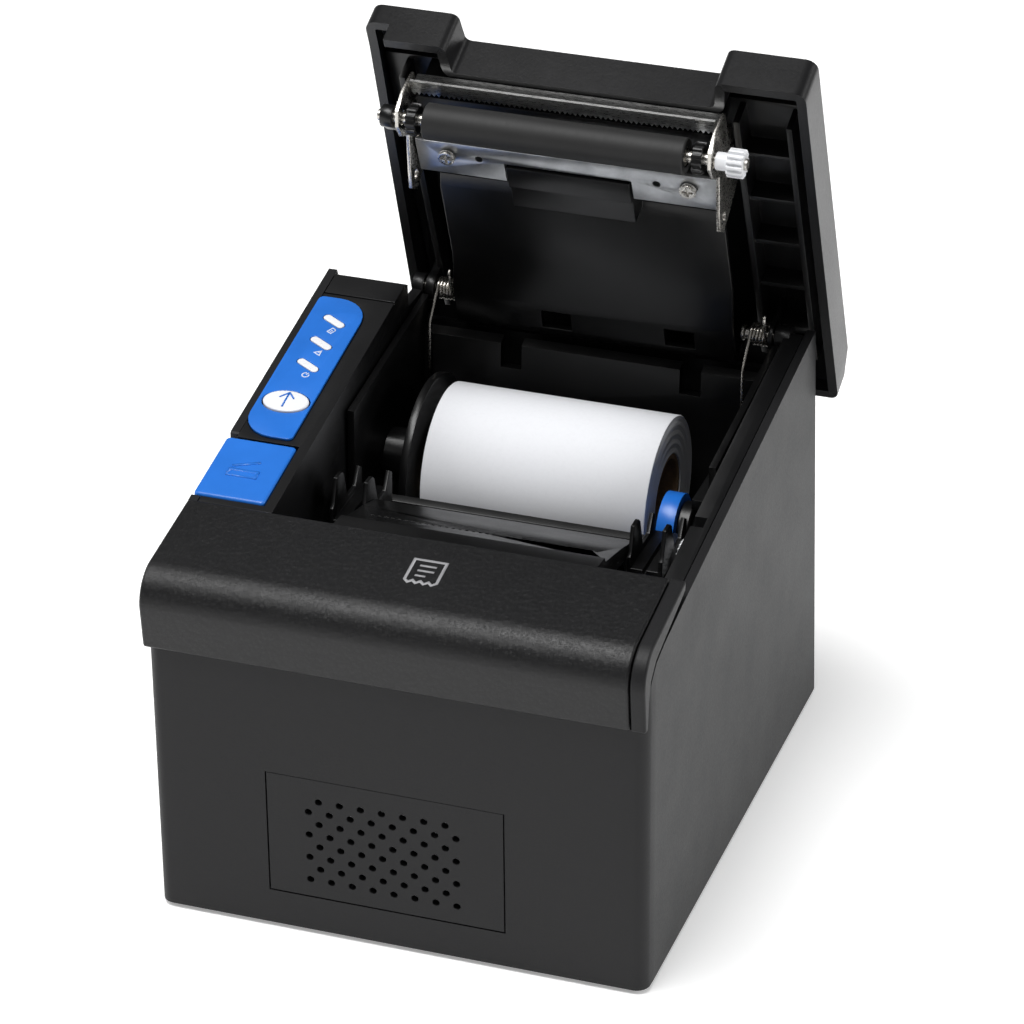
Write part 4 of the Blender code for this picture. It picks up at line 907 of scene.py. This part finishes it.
def ground_rubber(name, colour, roughness):
    """Matt rubber ground to size: fine marks round the roller, and a faint bloom."""
    material, link, place = new_finish(name, "Specular IOR Level", 0.35)
    marks_place = add_node(material, "ShaderNodeMapping")
    marks_place.inputs["Scale"].default_value = (1.0, 0.15, 0.15)
    marks = add_node(material, "ShaderNodeTexNoise", Scale=2600.0, Detail=3.0)
    bloom = add_node(material, "ShaderNodeTexNoise", Scale=120.0, Detail=4.0)
    link(place.outputs["Object"], marks_place.inputs["Vector"])
    link(marks_place.outputs["Vector"], marks.inputs["Vector"])
    link(place.outputs["Object"], bloom.inputs["Vector"])
    shade_by(material, bloom.outputs["Fac"], colour, 0.8, 1.3)
    gloss_by(material, marks.outputs["Fac"], roughness - 0.08, roughness + 0.08)
    relief_by(material, marks.outputs["Fac"], 0.8, 0.012)
    return material


RUBBER = ground_rubber("ground_rubber", (0.014, 0.014, 0.014), 0.58)


def bar_profile(stations, bore=0.0, edge=0.15):
    """The section of a stepped bar: each step's ends and radius, chamfered, closed along its bore."""
    points = []
    for (left, right, radius) in stations:
        points += [(left, max(radius - edge, bore)), (left + edge, radius), (right - edge, radius),
                   (right, max(radius - edge, bore))]
    points += [(stations[-1][1], bore), (stations[0][0], bore)]
    return points


left, right = ROLLER_LOW[0], ROLLER_HIGH[0]
make_piece(
    "rubber_roller", *turned(bar_profile([(left, right, PLATEN_RADIUS)], 3.0, 0.3), PLATEN, 80),
    RUBBER, "platen", "rubber", ["platen_roller"], sharp=30,
)
SHAFT_X = tuple((corner.x - DATUM[0]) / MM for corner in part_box("platen_shaft"))
make_piece(
    "steel_shaft",
    *turned(bar_profile([(SHAFT_X[0], left + 0.2, 1.7), (left + 0.2, right - 0.2, 2.9),
                         (right - 0.2, SHAFT_X[1], 1.7)]), PLATEN, 40),
    NICKEL, "platen", "steel", ["platen_shaft"], sharp=30,
)


def gear_wheel(teeth, root, outer, x, centre, bore, turn=0.0):
    """A spur gear: its outline swings between root and tip radius, and its ends are chamfered.

    Across one tooth the radius rises and falls as a clipped cosine, which leaves flat lands at
    the tip and at the root with sloping flanks between them.
    """
    angle = np.linspace(0, 2 * pi, teeth * 16, endpoint=False)
    wave = np.clip(0.5 + 1.15 * np.cos(teeth * angle), 0, 1)
    radius = root + (outer - root) * wave
    chamfer = 0.25
    rings = [(x[0], np.full_like(angle, bore)), (x[0], radius - chamfer), (x[0] + chamfer, radius),
             (x[1] - chamfer, radius), (x[1], radius - chamfer), (x[1], np.full_like(angle, bore))]
    bearing = angle + turn
    points = np.concatenate([
        np.stack([np.full_like(angle, place), centre[0] + r * np.cos(bearing),
                  centre[1] + r * np.sin(bearing)], -1)
        for place, r in rings
    ])
    faces = quads(len(rings) + 1, len(angle), joined=True) % len(points)
    return points, faces


def span(node):
    """A node's limits in x, in millimetres from the printer's middle."""
    low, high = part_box(node)
    return ((low.x - DATUM[0]) / MM, (high.x - DATUM[0]) / MM)


GEAR_X = (57.6, 62.2)
make_piece(
    "white_platen_gear", *gear_wheel(14, 3.2, 4.2, GEAR_X, PLATEN, 1.75), WHITE, "platen", "white_plastic",
    ["platen_gear"], sharp=30,
)
make_piece(
    "platen_gear_hub", *turned(bar_profile([(span("platen_gear")[0], GEAR_X[0] + 0.1, 2.6)], 1.75, 0.2),
                               PLATEN, 40),
    WHITE, "platen", "white_plastic", sharp=30,
)
for node in ("left_bearing", "right_bearing"):
    make_piece(
        f"{node}_ring", *gear_wheel(12, 3.9, 4.6, span(node), PLATEN, 1.78), INNER_BLACK, "lid",
        "inner_black",
        [node], sharp=30,
    )
rounded_copy("latch_lever", "latch_lever_body", INNER_BLACK, "latch", 0.25)


# ---------------------------------------------------------------- hinge pins and lid springs

# Each side has a steel hinge pin and a torsion spring wound round it, with one leg down the
# inside of the bay and the other under the lid.

SPRING_WIRE = 0.45
SPRING_RADIUS = 2.95
SPRING_X = (-40.3, 56.6)
SPRING_REACH = 2.45
for node in ("left_hinge_pin", "right_hinge_pin"):
    low, high = span(node)
    head = (high - 1.1, high) if node.startswith("left") else (low, low + 1.1)
    body_x = (low, head[0] + 0.1) if node.startswith("left") else (head[1] - 0.1, high)
    stations = sorted([(*body_x, 1.7), (*head, 2.4)])
    make_piece(
        f"{node}_turned", *turned(bar_profile(stations, edge=0.25), HINGE, 40), NICKEL, "case", "steel",
        [node],
        sharp=30,
    )


WIRE = plated_steel("spring_wire", (0.66, 0.63, 0.58), 0.26, 0.8, (1.0, 1.0, 1.0), relief=0.0004, cloud=0.03)


def drawn_wire(path, radius, sides=16):
    """A round wire along a path: a circle at each point, square to the path's direction there."""
    path = np.asarray(path, float)
    ahead = np.gradient(path, axis=0)
    ahead /= np.linalg.norm(ahead, axis=1, keepdims=True)
    side = np.cross(ahead, (1.0, 0.0, 0.0))
    side /= np.linalg.norm(side, axis=1, keepdims=True)
    other = np.cross(ahead, side)
    angle = np.linspace(0, 2 * pi, sides, endpoint=False)
    circle = side[:, None] * np.cos(angle)[:, None] + other[:, None] * np.sin(angle)[:, None]
    rings = path[:, None] + radius * circle
    return rings.reshape(-1, 3), capped(len(path), sides)


def spring_path(middle):
    """Up the leg on the case, round the coil, then out along the underside of the lid.

    The coil's angle falls evenly from 165 degrees, where the case leg meets it from below, to
    the angle at which the lid leg leaves it, so both legs run straight off the coil.
    """
    start, end = radians(165), radians(270) + OPEN_TURN - radians(5 * 360)
    swing = np.linspace(start, end, 150)
    x = np.linspace(middle - SPRING_REACH, middle + SPRING_REACH, 150)
    coil = np.stack([x, HINGE[0] + SPRING_RADIUS * np.cos(swing),
                     HINGE[1] + SPRING_RADIUS * np.sin(swing)], -1)
    low, knee = np.array([middle - SPRING_REACH, HINGE[0] - 10.3, HINGE[1] - 26.5]), np.array([0, 0.3, 18.5])
    foot = np.array([low, low + 0.5 * knee, low + knee, low + 1.06 * knee + (0, 0.5, 0)])
    tail = on_lid([(middle + SPRING_REACH, y, z) for y, z in
                   ((-1.0, -SPRING_RADIUS), (-7.0, -SPRING_RADIUS), (-9.4, -SPRING_RADIUS + 0.5),
                    (-10.4, -SPRING_RADIUS + 1.6))])
    return np.concatenate([foot, coil, tail])


for side, middle in zip(("left", "right"), SPRING_X):
    points, faces = drawn_wire(spring_path(middle), SPRING_WIRE)
    spring = make_piece(f"{side}_lid_spring", points, faces, WIRE, None, "steel",
                        [f"{side}_spring_case_leg", f"{side}_spring_lid_leg"])
    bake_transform(spring)


# ---------------------------------------------------------------- mechanism and adjuster

# Under the lip are the thermal head on its aluminium heat sink, its leaf spring, the motor and
# the drive gears. Beside the roll a black dial with a blue lever sets the low-paper sensor.

ALUMINIUM = plated_steel("cast_aluminium", (0.58, 0.58, 0.60), 0.42, 0.6, (1.0, 1.0, 1.0), relief=0.02)
CERAMIC = moulded_plastic("dark_glazed_ceramic", (0.030, 0.024, 0.018), 0.22, 0.5, 0.004, spread=0.05)
BOARD = moulded_plastic("green_circuit_board", (0.012, 0.11, 0.045), 0.42, 0.8, 0.02, spread=0.2, patch=4.0)

rounded_copy("adjuster_dial", "sensor_dial", INNER_BLACK, "near_end_adjuster", 0.0)
rounded_copy("adjuster_lever", "sensor_lever", BLUE, "near_end_adjuster", 0.45, 3)
for node, centre_turn, teeth, root, outer in (("idler_gear", 2.0, 28, 7.1, 8.0), ("reduction_gear", 4.0,
                                                                                  18, 4.4, 5.3)):
    centre = axis_between(*corners_of(node))
    tooth_middle = radians(centre_turn) + 2 * pi * 0.55 / teeth
    make_piece(
        f"{node}_wheel", *gear_wheel(teeth, root, outer, span(node), centre, 1.3, tooth_middle), WHITE,
        node.split("_")[0].replace("reduction", "reducer"), "white_plastic", [node], sharp=30,
    )


def dress(finish, *nodes):
    """Gives a finish to nodes that keep the model's own shape."""
    for node in nodes:
        for material_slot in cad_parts[node].material_slots:
            material_slot.material = finish


dress(ALUMINIUM, "stepper_motor")
# The aluminium heat sink is given the inner black finish as painted shade: it is made as dark as the shadow
# under the lip, not in its own colour.
dress(INNER_BLACK, "head_heatsink")
dress(CERAMIC, "thermal_print_head")
dress(NICKEL, "head_spring", "motor_pinion")
dress(ZINC, "mechanism_frame")
dress(BOARD, "main_board")


# ---------------------------------------------------------------- base, back and sockets

# The base plate and the rear panel close the case. The panel holds the power switch and the
# sockets, and the case stands on four rubber feet. The speaker faces the grille from inside.

dress(INNER_BLACK, "bottom_plate", "power_rocker", "dc_inlet", "cash_drawer_port")
dress(CHARCOAL, "rear_panel")
dress(ZINC, "usb_port", "lan_port", "speaker")
dress(RUBBER, "rubber_foot_1", "rubber_foot_2", "rubber_foot_3", "rubber_foot_4")


# ---------------------------------------------------------------- studio

# A pale floor, a bright surround and three large soft lamps: one overhead towards the front,
# one on the right that brings out the side wall, and a weaker one on the left.


def studio_floor():
    """A flat pale sheet under the printer."""
    reach = 6.0
    mesh = bpy.data.meshes.new("floor")
    mesh.from_pydata([(-reach, -reach, 0), (reach, -reach, 0), (reach, reach, 0), (-reach, reach, 0)], [],
                     [(0, 1, 2, 3)])
    floor = bpy.data.objects.new("floor", mesh)
    bpy.context.scene.collection.objects.link(floor)
    finish = bpy.data.materials.new("pale_floor")
    finish.use_nodes = True
    shader = finish.node_tree.nodes["Principled BSDF"]
    shader.inputs["Base Color"].default_value = (0.96, 0.96, 0.96, 1)
    shader.inputs["Roughness"].default_value = 0.6
    shader.inputs["Specular IOR Level"].default_value = 0.2
    shader.inputs["Emission Color"].default_value = (1, 1, 1, 1)
    shader.inputs["Emission Strength"].default_value = 0.30
    mesh.materials.append(finish)


def soft_lamp(name, place, aim, size, power):
    """A square area lamp at place, turned to face aim."""
    lamp = bpy.data.lights.new(name, "AREA")
    lamp.size = size
    lamp.energy = power
    holder = bpy.data.objects.new(name, lamp)
    bpy.context.scene.collection.objects.link(holder)
    holder.location = place
    holder.rotation_euler = (Vector(aim) - Vector(place)).to_track_quat("-Z", "Y").to_euler()


studio_floor()
soft_lamp("overhead_lamp", (-0.25, -0.45, 1.9), (0, 0, 0.1), 1.0, 36)
soft_lamp("right_lamp", (1.9, 0.5, 0.9), (0, 0, 0.1), 0.9, 16)
soft_lamp("left_lamp", (-1.7, -0.3, 1.2), (0, 0, 0.1), 0.7, 9)

surround = bpy.data.worlds.new("studio_surround")
surround.use_nodes = True
surround.node_tree.nodes["Background"].inputs["Color"].default_value = (1.0, 1.0, 1.0, 1)
surround.node_tree.nodes["Background"].inputs["Strength"].default_value = 0.16
bpy.context.scene.world = surround
bpy.context.scene.view_settings.view_transform = "Standard"

CAMERA_PLACE = Vector((0.37085, -1.08904, 0.7183))
CAMERA_AIM = Vector((0.0169, -0.04583, 0.12156))
lens = bpy.data.cameras.new("camera")
lens.lens = 160.6
lens.sensor_width = 36.0
lens.clip_start = 0.05
camera = bpy.data.objects.new("camera", lens)
bpy.context.scene.collection.objects.link(camera)
camera.location = CAMERA_PLACE
camera.rotation_euler = (CAMERA_AIM - CAMERA_PLACE).to_track_quat("-Z", "Y").to_euler()
bpy.context.scene.camera = camera
